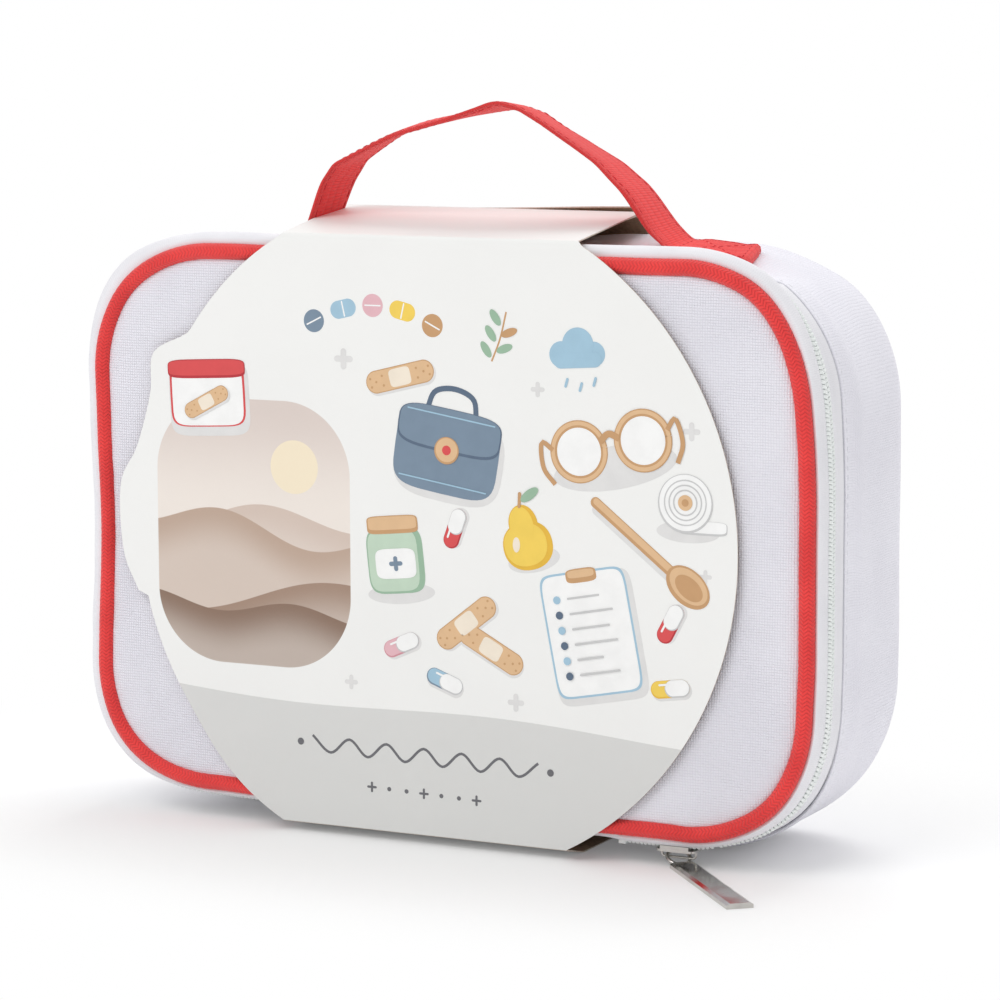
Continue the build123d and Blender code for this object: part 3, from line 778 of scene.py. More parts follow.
@dataclass(frozen=True)
class PrintInk:
    """Inks of the small pictures, read from the piece's own colours."""

    name: str = "printed_inks"
    attribute: str = "ink"

    def material(self, effects: Effects) -> Material:
        """Ink with a faint grain under the card's coating."""
        look = Look(self.name, effects, (160.0, 1500.0), Specular_IOR_Level=0.3)
        return look.coated(look.sheet.add("Attribute", attribute_name=self.attribute).outputs["Color"], 0.12)


# --- the case's own shape
@dataclass(frozen=True)
class Outline:
    """Rounded rectangle standing in the XZ plane, gone round from the middle of its bottom."""

    width: float
    height: float
    radius: float
    centre_z: float

    def stretches(self) -> Array:
        """Lengths of the straight runs and corners in turn."""
        across, up = self.width / 2 - self.radius, self.height - 2 * self.radius
        arc = self.radius * math.pi / 2
        return np.array([across, arc, up, arc, 2 * across, arc, up, arc, across])

    def length(self) -> float:
        """Whole way round."""
        return float(self.stretches().sum())

    def at(self, stretch: Array, local: Array) -> tuple[Array, Array]:
        """Points and outward normals.

        Args:
            stretch: Which run or corner each point lies on, 0 to 8.
            local: How far along it, 0 to 1.

        Returns:
            Points and normals, as rows of x and z.
        """
        corners = np.array([[0, -1], [1, -1], [1, -1], [1, 1], [1, 1], [-1, 1], [-1, 1], [-1, -1], [-1, -1],
                            [0, -1]], float)
        turns = np.radians([-90, -90, 0, 0, 90, 90, 180, 180, 270, 270])
        reach = np.array([self.width / 2 - self.radius, self.height / 2 - self.radius])
        centre = (corners[stretch] * (1 - local)[:, None] + corners[stretch + 1] * local[:, None]) * reach
        angle = turns[stretch] * (1 - local) + turns[stretch + 1] * local
        normal = rows(np.cos(angle), np.sin(angle))
        return centre + self.radius * normal + [0, self.centre_z], normal

    def from_square(self, across: Array, up: Array) -> tuple[Array, Array, Array]:
        """Spreads a square's points over the outline's inside.

        Args:
            across: -1 to 1.
            up: -1 to 1.

        Returns:
            Points as rows of x and z, outermost points in the same direction, and shares of the way out.
        """
        out = np.maximum(np.abs(across), np.abs(up))
        safe = np.where(out > 0, out, 1)
        half = np.array([self.width, self.height]) / 2
        square = rows(across, up) / safe[:, None] * half
        past = (np.abs(square) - (half - self.radius)) / self.radius
        sideways = np.abs(across) >= np.abs(up)
        angle = np.where(sideways, past[:, 1], 2 - past[:, 0]) * math.pi / 4
        arc = (half - self.radius) + self.radius * rows(np.cos(angle), np.sin(angle))
        cornered = (past > 0).all(axis=1)[:, None]
        edge = np.where(cornered, np.sign(square) * arc, square)
        share = 1 - (1 - out) ** 1.5
        return edge * share[:, None] + [0, self.centre_z], edge + [0, self.centre_z], share


@dataclass(frozen=True)
class CaseShape:
    """Measures that the soft pieces share, read from the frame."""

    path: Outline
    full: Outline
    front_y: float
    back_y: float
    piping_radius: float
    hem_y: float
    zip_y: float
    hem_out: float = 7.5 * MM
    hem_width: float = 6.5 * MM
    flare: float = 7.4 * MM
    rear_radius: float = 18 * MM
    seam_inset: float = 22 * MM
    tape_out: float = 4.8 * MM
    hinge_half: float = 65.2 * MM
    slider_share: float = 0.103
    sway: tuple[Pair, ...] = (
        (0, 0), (0.07, -0.5), (0.10, -0.8), (0.125, 0.1), (0.148, 1.3), (0.172, 0.4), (0.188, 0.2),
        (0.203, 0.9), (0.28, 0.8), (0.297, 0.1), (0.322, -1.9), (0.344, -0.8), (0.359, 0.8), (0.375, 0.3),
        (0.406, 0.2), (0.45, 0), (0.55, 0), (0.594, 0.8), (0.625, 0.3), (0.648, 1.2), (0.672, 0.2),
        (0.695, -0.5), (0.719, -0.8), (0.75, -1.8), (0.781, -1.0), (0.797, -0.1), (0.812, 0.1),
        (0.843, 1.9), (0.859, 1.0), (0.875, -0.7), (0.891, -1.5), (0.906, -1.1), (0.95, -0.3), (1, 0))
    lip: Triple = (3.0 * MM, 1.7 * MM, 0.5 * MM)
    lip_behind: Triple = (2.2 * MM, -0.4 * MM, 1.0 * MM)
    top_sink: float = 2.7 * MM
    middle_sink: float = 5.6 * MM
    left_deeper: float = 0.35
    lean: float = 1.2 * MM
    hem_pressed: float = 1.6 * MM

    @classmethod
    def read(cls, piping_corner: float = 42 * MM, case_corner: float = 56 * MM) -> CaseShape:
        """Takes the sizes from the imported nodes.

        Args:
            piping_corner: Radius of the piping's path at its corners.
            case_corner: Radius of the band's corners.

        Returns:
            The measures.
        """
        low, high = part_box("front_piping")
        thick = high.y - low.y
        path = Outline(high.x - low.x - thick, high.z - low.z - thick, piping_corner, (high.z + low.z) / 2)
        band_low, band_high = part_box("side_band_canvas")
        full = Outline(band_high.x - band_low.x, band_high.z - band_low.z, case_corner,
                       (band_high.z + band_low.z) / 2)
        zip_y = (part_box("lid_zip_coil")[1].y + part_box("body_zip_coil")[0].y) / 2
        return cls(path, full, (low.y + high.y) / 2, band_high.y, thick / 2, band_low.y, zip_y)

    def place(self, share: Array, out: Array, depth: Array, spread: Array | float = 0.0) -> Array:
        """Points round the rim.

        Args:
            share: Shares of the way round, from the middle of the bottom to the right.
            out: Distances outward from the piping's path.
            depth: Y of each point.
            spread: 0 on the rim's own outline, 1 on the whole case's.

        Returns:
            Rows of x, y and z.
        """
        rim, normal = self.rim(share)
        full, _ = self.full.at(*self.split(share))
        spread = np.broadcast_to(spread, share.shape)[:, None]
        out = np.asarray(out) + self.softness(share, normal, np.asarray(out), np.asarray(depth))
        flat = rim + normal * out[:, None] + spread * (full - rim - self.hem_out * normal)
        return self.settled(rows(flat[:, 0], depth, flat[:, 1]))

    def settled(self, points: Array) -> Array:
        """Points once the band leans a little to the left behind the zip and its top has sunk."""
        behind = ease(points[:, 1], self.front_y + self.piping_radius, self.zip_y)
        leaned = points.copy()
        at_back = ease(points[:, 1], self.back_y - 10 * MM, self.back_y - 1 * MM)
        leaned[:, 0] -= self.lean * behind * (1 - at_back)
        return self.sunk(leaned)

    def softness(self, share: Array, normal: Array, out: Array, depth: Array) -> Array:
        """How far the sewn rim stands off its drawn line.

        Args:
            share: Shares of the way round.
            normal: Outward normals there, as rows of x and z.
            out: Distances outward from the piping's path.
            depth: Y of each point.

        Returns:
            Distances outward.
        """
        sway = self.sway_at(share)
        by_slider = ease(np.abs(share - self.slider_share), 0.016, 0.034)
        outer = ease(out, 2.7 * MM, 4.2 * MM)
        sway = sway * (1 - outer * (1 - by_slider))
        fading = 1 - ease(depth, self.zip_y - 3 * MM, self.hem_y + 24 * MM)
        sides = rows(ease(-normal[:, 0], 0.1, 0.9), ease(normal[:, 1], 0.1, 0.9),
                          ease(normal[:, 0], 0.1, 0.9))
        hook = ease(depth, self.front_y + 3.2 * MM, self.zip_y - 1 * MM)
        lip = (sides @ np.array(self.lip)) * (1 - hook) + (sides @ np.array(self.lip_behind)) * hook
        pressed = self.hem_pressed * ease(out, 4.4 * MM, 7.5 * MM) * ease(normal[:, 1], -0.7, -0.1)
        pressed *= 1 - ease(depth, self.hem_y + 3 * MM, self.hem_y + 12 * MM)
        return sway * fading + lip * outer * (1 - ease(depth, self.hem_y, self.hem_y + 22 * MM)) - pressed

    def sway_at(self, share: Array) -> Array:
        """How far the piping wanders outward from its drawn line at shares of the way round."""
        knots, values = np.array(self.sway).T
        ring = (share[:, None] + np.array([-0.008, -0.004, 0, 0.004, 0.008])) % 1.0
        return np.interp(ring, knots, values).mean(axis=1) * MM

    def wandered(self, edge: Array) -> Array:
        """Shift of points on a panel's sewn edge that keeps them under the wandering piping.

        Args:
            edge: Rows of x and z.

        Returns:
            Shifts, as rows of x and z.
        """
        share = np.linspace(0, 1, 720, endpoint=False)
        rim, normal = self.rim(share)
        nearest = np.array([np.argmin(((rim - point) ** 2).sum(axis=1)) for point in edge])
        return (normal * self.sway_at(share)[:, None])[nearest]

    def sunk(self, points: Array) -> Array:
        """Points once the top has sunk a little behind the zip, most of all between the handle's feet."""
        front = ease(points[:, 1], self.zip_y - 3 * MM, self.zip_y + 5 * MM)
        depth = front * (1 - ease(points[:, 1], self.hem_y + 4 * MM, self.hem_y + 34 * MM))
        beside = ease(points[:, 0], 10 * MM, 45 * MM) * (1 - 0.75 * ease(points[:, 0], 55 * MM, 66 * MM))
        rising = self.back_y - 15 * MM - 19 * MM * beside
        middle = front * (1 - ease((points[:, 1] - rising) / (self.back_y - 1 * MM - rising), 0, 1))
        middle *= 1 - 0.4 * ease(points[:, 1], -14 * MM, 14 * MM)
        across = np.abs(points[:, 0])
        middle *= (1 + 0.35 * ease(across, 66 * MM, 96 * MM)) * (1 - ease(across, 98 * MM, 124 * MM))
        middle *= 1 + self.left_deeper * (1 - ease(points[:, 0], -60 * MM, 0))
        top = self.path.centre_z + self.path.height / 2
        height = ease(points[:, 2], top - 45 * MM, top - 4 * MM) * (1 - ease(points[:, 2], top + 13 * MM,
                                                                             top + 24 * MM))
        lowered = points.copy()
        lowered[:, 2] -= np.maximum(self.top_sink * depth, self.middle_sink * middle) * height
        return lowered

    def split(self, share: Array) -> tuple[Array, Array]:
        """Stretch and place along it of shares of the way round."""
        ends = np.concatenate([[0], np.cumsum(self.path.stretches())]) / self.path.length()
        share = np.clip(share, 0, 1)
        stretch = np.clip(np.searchsorted(ends, share, side="right") - 1, 0, 8)
        return stretch, (share - ends[stretch]) / (ends[stretch + 1] - ends[stretch])

    def rim(self, share: Array) -> tuple[Array, Array]:
        """Points and normals of the piping's path."""
        return self.path.at(*self.split(share))

    def facing(self, share: Array) -> Array:
        """Directions along the rim, to the back and outward, as three rows for each share."""
        across, up = self.rim(share)[1].T
        axes = np.zeros((len(share), 3, 3))
        axes[:, 0] = rows(-up, 0, across)
        axes[:, 1] = (0, 1, 0)
        axes[:, 2] = rows(across, 0, up)
        return axes

    def share_at(self, x: float) -> float:
        """Share of the way round of a point on the bottom, right of the middle."""
        return x / self.path.length()

    def tape_low(self) -> float:
        """Height of the zip's tape along the bottom."""
        return self.path.centre_z - self.path.height / 2 - self.tape_out


@dataclass
class Finishes:
    """Every material of the case."""

    canvas: Material
    canvas_flat: Material
    lining: Material
    lining_flat: Material
    binding: Material
    foam: Material
    board: Material
    piping: Material
    tape: Material
    coil: Material
    webbing: Material
    red_thread: Material
    white_thread: Material
    # grey of the cord that paints the shadow line along the hem's fold
    painted_hem_shadow: Material
    chrome: Material
    raw_card: Material
    card_edge: Material

    @classmethod
    def build(cls, effects: Effects) -> Finishes:
        """Makes the materials.

        Args:
            effects: The shared node groups.

        Returns:
            All of them.
        """
        white = ink(247, 246, 254), ink(208, 206, 218)
        fog = ink(226, 228, 230), ink(188, 190, 196)
        looks = {
            "canvas": Textile("white_canvas", *white, 0.9 * MM, 0.12 * MM, gap_share=0.2),
            "canvas_flat": Textile("white_canvas_panel", *white, 0.9 * MM, 0.25 * MM, gap_share=0.3,
                                   lay=Lay.PLACE),
            "lining": Textile("grey_lining", *fog, 0.45 * MM, 0.08 * MM, 0.6),
            "lining_flat": Textile("grey_lining_panel", *fog, 0.45 * MM, 0.08 * MM, 0.6, lay=Lay.PLACE),
            "binding": Textile("seam_binding", ink(232, 232, 234), ink(190, 190, 198), 0.8 * MM, 0.12 * MM,
                               0.7, 0.2, 0.6, column=1.6 * MM, slant=0.4),
            "foam": Solid("foam", ink(240, 238, 226), ink(214, 210, 196), 0.95, 700.0, 0.4 * MM),
            "board": Solid("stiffening_board", ink(176, 172, 164), ink(150, 146, 138), 0.9),
            "piping": Textile("red_piping", ink(252, 70, 68), ink(180, 24, 34), 1.25 * MM, 0.3 * MM,
                              0.7, 0.2, 0.42, column=1.45 * MM, slant=0.85),
            "tape": Textile("zip_tape", ink(243, 242, 246), ink(220, 220, 226), 0.7 * MM, 0.06 * MM,
                            0.75, 0.02, 0.4, column=0.8 * MM, slant=0.5),
            "coil": Solid("zip_coil", ink(247, 250, 249), ink(238, 243, 241), 0.4, 900.0, 0.02 * MM),
            "webbing": Textile("red_webbing", ink(250, 68, 66), ink(192, 28, 38), 0.85 * MM, 0.2 * MM,
                               sheen=0.15, gap_share=0.4),
            "red_thread": Solid("red_thread", ink(214, 48, 56), ink(190, 34, 44), 0.7, 4000.0, 0.01 * MM),
            "white_thread": Solid("white_thread", ink(240, 240, 244), ink(214, 214, 222), 0.6, 4000.0,
                                  sheen=0.2),
            # grey for the painted shadow line along the hem's fold, not a real thread
            "painted_hem_shadow": Solid("painted_hem_shadow", ink(206, 206, 212), ink(192, 192, 200), 0.8),
            "chrome": Chrome(),
            "raw_card": Solid("raw_card", ink(192, 164, 138), ink(168, 140, 114), 0.9, 1100.0, 0.06 * MM,
                              90.0),
            "card_edge": Solid("card_edge", ink(222, 214, 202), ink(196, 184, 168), 0.85, 1800.0)}
        return cls(**{use: look.material(effects) for use, look in looks.items()})


def dress(piece: Piece, materials: Iterable[Material], body: str | None = None,
          replaces: Sequence[str] = ()) -> Piece:
    """Gives a finished piece its materials and body, and hides the nodes that it stands for.

    Args:
        piece: The finished mesh.
        materials: Materials in the order of the mesh's slots; none where it has them already.
        body: The body that it rides on, or None where it rides on none.
        replaces: Nodes that it stands for.

    Returns:
        The same piece.
    """
    for material in materials:
        piece.data.materials.append(material)
    if replaces:
        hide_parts(*replaces)
    if body is not None:
        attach(piece, body)
    LOG.info("%s: %d faces", piece.name, len(piece.data.polygons))
    return piece


# --- soft shell
@dataclass
class SoftPanels:
    """Front and back panels: foam-backed canvas drawn in at its seam."""

    shape: CaseShape
    finishes: Finishes
    cloth: float = 0.6 * MM
    crown: float = 2.7 * MM
    seam_setback: float = 1.2 * MM
    edge_softness: float = 1.3 * MM
    pucker: float = 0.35 * MM

    @staticmethod
    def free(x: Array) -> Array:
        """Nothing holds the cloth down."""
        return np.full(len(x), 4 * MM)

    @staticmethod
    def under_card(x: Array) -> Array:
        """The card holds the back flat, and it swells a little on both sides of it."""
        low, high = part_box("sleeve_back")
        beside = np.maximum(low.x - x, x - high.x)
        return 0.8 * MM + 0.9 * MM * ease(beside, 0, 20 * MM)

    def panel(self, name: str, outline: Outline, seam_y: float, crown: float, pucker: float,
              toward: float, limit: Callable[[Array], Array], seed: int) -> Piece:
        """One puffed panel.

        Args:
            name: The piece's name.
            outline: Where its edge is sewn.
            seam_y: Depth of the sewn edge.
            crown: How far the middle stands off the seam.
            pucker: Height of the puckers beside the seam.
            toward: -1 where it faces the front, 1 the back.
            limit: Gives the furthest that it may stand off the seam, at places across.
            seed: Shifts the puckers.

        Returns:
            The panel, one cloth thick.
        """
        def surface(s: Array, t: Array) -> Array:
            """Puffed cloth over its outline."""
            inside, edge, share = outline.from_square(2 * s - 1, 2 * t - 1)
            if toward < 0:
                inside = inside + self.shape.wandered(edge) * ease(share, 0.9, 1.0)[:, None]
            from_edge = (1 - share) * outline.height / 2
            lift = crown * (1 - np.exp(-from_edge / self.edge_softness))
            rim = rows(edge[:, 0], 0, edge[:, 1])
            ripple = unevenness(rim, 7 * MM, seed) + 0.6 * unevenness(rim, 3.2 * MM, seed + 1)
            lift += pucker * ripple * np.exp(-from_edge / (9 * MM)) * ease(from_edge, 0, 2 * MM)
            face = rows(inside[:, 0], 0, inside[:, 1])
            lift += 0.3 * MM * unevenness(face, 42 * MM, seed + 2) * ease(from_edge, 0, 14 * MM)
            lift = np.minimum(lift, limit(inside[:, 0]))
            return rows(inside[:, 0], seam_y + toward * lift, inside[:, 1])

        piece = laid_grid(name, 150, 110, surface, (outline.width, outline.height))
        return smooth(thickened(piece, self.cloth, toward), 60)

    def build(self) -> None:
        """Makes both panels and their linings."""
        shape = self.shape
        grown = -shape.piping_radius + 1.5 * MM
        front = Outline(shape.path.width + 2 * grown, shape.path.height + 2 * grown,
                        shape.path.radius + grown, shape.path.centre_z)
        seam_y = shape.front_y + self.seam_setback
        puffed = self.panel("front_panel_canvas", front, seam_y, self.crown, self.pucker, -1.0, self.free, 3)
        dress(named(puffed, "front_panel_cloth"), [self.finishes.canvas_flat], "lid",
              ["front_panel_canvas"])
        inset = -shape.seam_inset - 0.1 * MM
        back = Outline(shape.full.width + 2 * inset, shape.full.height + 2 * inset,
                       shape.full.radius + inset, shape.full.centre_z)
        rear = self.panel("back_panel_cloth", back, shape.back_y - 1.5 * MM, 1.9 * MM, 0.2 * MM, 1.0,
                          self.under_card, 11)
        dress(rear, [self.finishes.canvas_flat], "root", ["back_panel_canvas"])
        self.linings(front, back)

    def linings(self, front: Outline, back: Outline) -> None:
        """Smooth linings inside the lid and the back.

        Args:
            front: The front panel's outline.
            back: The back panel's outline.
        """
        low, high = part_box("front_panel_lining")
        wide = Outline(high.x - low.x, high.z - low.z, front.radius + 4 * MM, front.centre_z)
        lid = self.panel("front_panel_lining_cloth", wide, high.y - 0.3 * MM, 0.5 * MM, 0.15 * MM, 1.0,
                         self.free, 21)
        dress(lid, [self.finishes.lining_flat], "lid", ["front_panel_lining"])
        low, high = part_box("back_panel_lining")
        inner = self.panel("back_panel_lining_cloth", back, low.y + 0.3 * MM, 0.5 * MM, 0.15 * MM, -1.0,
                           self.free, 27)
        dress(inner, [self.finishes.lining_flat], "root", ["back_panel_lining"])


@dataclass
class Band:
    """Side band: hemmed canvas round the case, its lining, and the bindings of its seams."""

    shape: CaseShape
    finishes: Finishes
    cloth: float = 0.5 * MM
    columns: int = 420
    swell: float = 0.5 * MM
    stitch_setback: float = 2.4 * MM
    # radius of the grey cord that paints the hem fold's shadow line
    hem_shadow_radius: float = 0.24 * MM

    def spread(self, depth: Array) -> Array:
        """How far the band has opened from the rim's outline to the case's."""
        start = self.shape.hem_y + self.shape.hem_width
        return ease(depth, start - 0.2 * MM, start + self.shape.flare)

    def skin(self, name: str, route: Array, rows: int, relief: Surface) -> Piece:
        """Surface that follows a route of (distance off the hem's line, depth) right round the case.

        Args:
            name: The piece's name.
            route: Rows of distance outward and depth.
            rows: Quads along the route.
            relief: Gives heights off the surface from points and shares along the route.

        Returns:
            The open skin.
        """
        def surface(s: Array, t: Array) -> Array:
            """Skin with its relief along its own normals."""
            point, normal = along(route, t)
            share = s % 1.0
            out = self.shape.hem_out + point[:, 0]
            bare = self.shape.place(share, out, point[:, 1], self.spread(point[:, 1]))
            height = relief(bare, t)
            outward = -normal
            return self.shape.place(share, out + outward[:, 0] * height, point[:, 1] + outward[:, 1] * height,
                                    self.spread(point[:, 1]))

        return laid_grid(name, self.columns, rows, surface, (self.shape.path.length(), length_of(route)))

    def outer_route(self) -> Array:
        """From the hem's inner layer round its front edge, back, and in to the rear seam."""
        shape, radius = self.shape, self.shape.rear_radius
        fold = shape.hem_y + self.cloth / 2
        corners = [(-1.0 * MM, shape.hem_y + shape.hem_width), (-1.0 * MM, fold), (0, fold),
                   (0, shape.back_y), (-shape.seam_inset, shape.back_y),
                   (-shape.seam_inset - 0.3 * MM, shape.back_y - 2 * MM)]
        return rounded_route(corners, (0.45 * MM, 0.45 * MM, radius, 0.9 * MM), 1.2 * MM)

    def canvas_relief(self, bare: Array, t: Array) -> Array:
        """Heights of the canvas over its plain surface.

        Args:
            bare: Points of the plain surface.
            t: Shares along the skin's route.

        Returns:
            Heights outward.
        """
        shape = self.shape
        depth = bare[:, 1]
        hem_end = shape.hem_y + shape.hem_width
        outer = ease(t, 0.10, 0.14)
        at_back = ease(depth, shape.back_y - 16 * MM, shape.back_y)
        middle = ease(depth, hem_end, hem_end + 14 * MM) * (1 - at_back)
        flank = ease(np.abs(bare[:, 0]), 108 * MM, 128 * MM)
        height = self.swell * middle * flank
        height += 0.45 * MM * middle * flank * (0.6 + unevenness(bare, 38 * MM, 5))
        near_hem = np.exp(-np.abs(depth - hem_end) / (6 * MM)) * outer
        ring = rows(bare[:, 0], 0, bare[:, 2])
        height += 0.22 * MM * near_hem * unevenness(ring, 9 * MM, 8) * flank
        stitched = shape.hem_y + self.stitch_setback
        height -= 0.14 * MM * np.exp(-((depth - stitched) / (0.8 * MM)) ** 2) * outer
        top = bare[:, 2] > shape.full.centre_z
        return np.where(top & (np.abs(bare[:, 0]) < 104 * MM), np.minimum(height, 0.05 * MM), height)

    def build(self) -> None:
        """Makes the canvas with its stitches, the lining and the bindings."""
        canvas = self.skin("side_band_cloth", self.outer_route(), 96, self.canvas_relief)
        dress(smooth(thickened(canvas, self.cloth, -1.0), 60), [self.finishes.canvas])
        # the grey cord joined here paints the shadow line along the hem's fold
        whole = join("side_band_cloth", [canvas, self.hem_stitches(), self.hem_edge()])
        dress(whole, [], "root", ["side_band_canvas"])
        self.lining()
        self.bindings()

    def hem_stitches(self) -> Piece:
        """Row of stitches behind the hem's folded edge."""
        shape = self.shape
        count = int(shape.path.length() / STITCH_STEP)
        share = (np.arange(count) + 0.5) / count
        depth = np.full(count, shape.hem_y + self.stitch_setback)
        centres = shape.place(share, np.full(count, shape.hem_out - 0.08 * MM), depth)
        row = mesh_copies("hem_stitches", stitch(2.3 * MM, 0.5 * MM), centres, shape.facing(share))
        row.data.materials.append(self.finishes.white_thread)
        return smooth(row)

    def cord(self, name: str, around: int, girth: float, middle: Pair, half: Pair,
             powers: Pair = (1.0, 1.0), spread: float = 0.0) -> Piece:
        """Closed cord or folded tape that goes right round the case.

        Args:
            name: The piece's name.
            around: Quads round it.
            girth: Length of cloth round it.
            middle: Distance off the piping's path and depth of its middle.
            half: Half of its width and of its height.
            powers: Below 1 where it is squarer than an ellipse.
            spread: 0 on the rim's outline, 1 on the case's.

        Returns:
            The closed ring.
        """
        def surface(s: Array, t: Array) -> Array:
            """Ring with a rounded section."""
            wide, high = oval(2 * math.pi * t, *powers)
            return self.shape.place(s % 1.0, middle[0] + half[0] * wide, middle[1] + half[1] * high, spread)

        return laid_grid(name, self.columns, around, surface, (self.shape.path.length(), girth))

    def hem_edge(self) -> Piece:
        """Thin grey cord along the hem's fold: a painted shadow line where the folded hem stands over the
        tape.
        """
        middle = (self.shape.hem_out - 0.45 * MM, self.shape.hem_y - 0.05 * MM)
        edge = self.cord("hem_edge", 6, 2 * MM, middle, (self.hem_shadow_radius, self.hem_shadow_radius))
        edge.data.materials.append(self.finishes.painted_hem_shadow)
        return smooth(edge, 80)

    def lining(self) -> None:
        """Thin lining inside the band, with small slack folds."""
        shape = self.shape
        low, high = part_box("side_band_lining")
        inset = (shape.full.width - (high.x - low.x)) / 2 + 0.25 * MM
        radius = shape.rear_radius - inset
        back = high.y - 0.25 * MM
        corners = [(-inset, low.y), (-inset, back), (-shape.seam_inset - 0.1 * MM, back)]
        route = rounded_route(corners, (radius,), 1.6 * MM)

        def slack(bare: Array, t: Array) -> Array:
            """Slack folds, all of them inward."""
            fold = unevenness(bare * [1, 0.35, 1], 11 * MM, 31) + 0.5 * unevenness(bare, 30 * MM, 32)
            return -0.45 * MM * (fold + 1.0) * ease(t, 0.02, 0.2)

        lining = self.skin("side_band_lining_cloth", route, 48, slack)
        lining = smooth(thickened(lining, 0.25 * MM, -1.0), 60)
        dress(lining, [self.finishes.lining], "root", ["side_band_lining"])

    def bindings(self) -> None:
        """Folded tapes over the seams inside: two upright ones at the rim, a flat one at the back."""
        shape = self.shape
        for node, body, wide, powers, flat in (("rim_binding", "root", 1.5 * MM, (0.6, 0.5), False),
                                               ("lid_seam_binding", "lid", 1.5 * MM, (0.6, 0.5), False),
                                               ("back_seam_binding", "root", 6 * MM, (0.4, 0.7), True)):
            low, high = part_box(node)
            half = (high.y - low.y) / 2
            outer = (high.x - low.x - (shape.full.width if flat else shape.path.width)) / 2
            outer += shape.hem_out if flat else 0.0
            girth = 2 * wide if flat else 2 * (wide + 2 * half)
            tape = self.cord(node + "_tape", 16, girth, (outer - wide / 2, (low.y + high.y) / 2),
                             (wide / 2, half), powers, float(flat))
            dress(smooth(tape, 60), [self.finishes.binding], body, [node])


def stitch(length: float, width: float) -> Piece:
    """One raised stitch round the origin, along X, its height along Z."""
    bpy.ops.object.select_all(action="DESELECT")
    bpy.ops.mesh.primitive_uv_sphere_add(segments=6, ring_count=4, radius=0.5)
    piece = bpy.context.active_object
    with EditMode(piece):
        bpy.ops.transform.resize(value=(width, width * 0.7, length))
        bpy.ops.transform.rotate(value=math.pi / 2, orient_axis="Y", center_override=ORIGIN)
    return piece


# --- rim: piping and zip
@dataclass
class Piping:
    """Braided cord sewn round the front panel."""

    shape: CaseShape
    finishes: Finishes
    pitch: float = 1.25 * MM
    columns: int = 1900
    around: int = 20
    strand_height: float = 0.07 * MM

    def build(self) -> None:
        """Makes the cord with its strands raised a little."""
        shape = self.shape
        length = shape.path.length()
        girth = 2 * math.pi * shape.piping_radius

        def surface(s: Array, t: Array) -> Array:
            """Cord with its strands, wandering a little."""
            share, angle = s % 1.0, 2 * math.pi * t
            column = np.abs((t * 12) % 2 - 1)
            strand = np.abs(np.sin(math.pi * (s * length / (2 * self.pitch) + 0.5 * column)))
            rim, _ = shape.rim(share)
            sway = 0.12 * MM * unevenness(rows(rim[:, 0], 0, rim[:, 1]), 16 * MM, 41)
            radius = shape.piping_radius - self.strand_height * (1 - strand) + sway * np.cos(angle)
            return shape.place(share, radius * np.cos(angle), shape.front_y + radius * np.sin(angle))

        cord = laid_grid("front_piping_cord", self.columns, self.around, surface, (length, girth))
        dress(smooth(cord, 80), [self.finishes.piping], "lid", ["front_piping"])


class Side(Enum):
    """Halves of the zip."""

    LID = -1
    BODY = 1


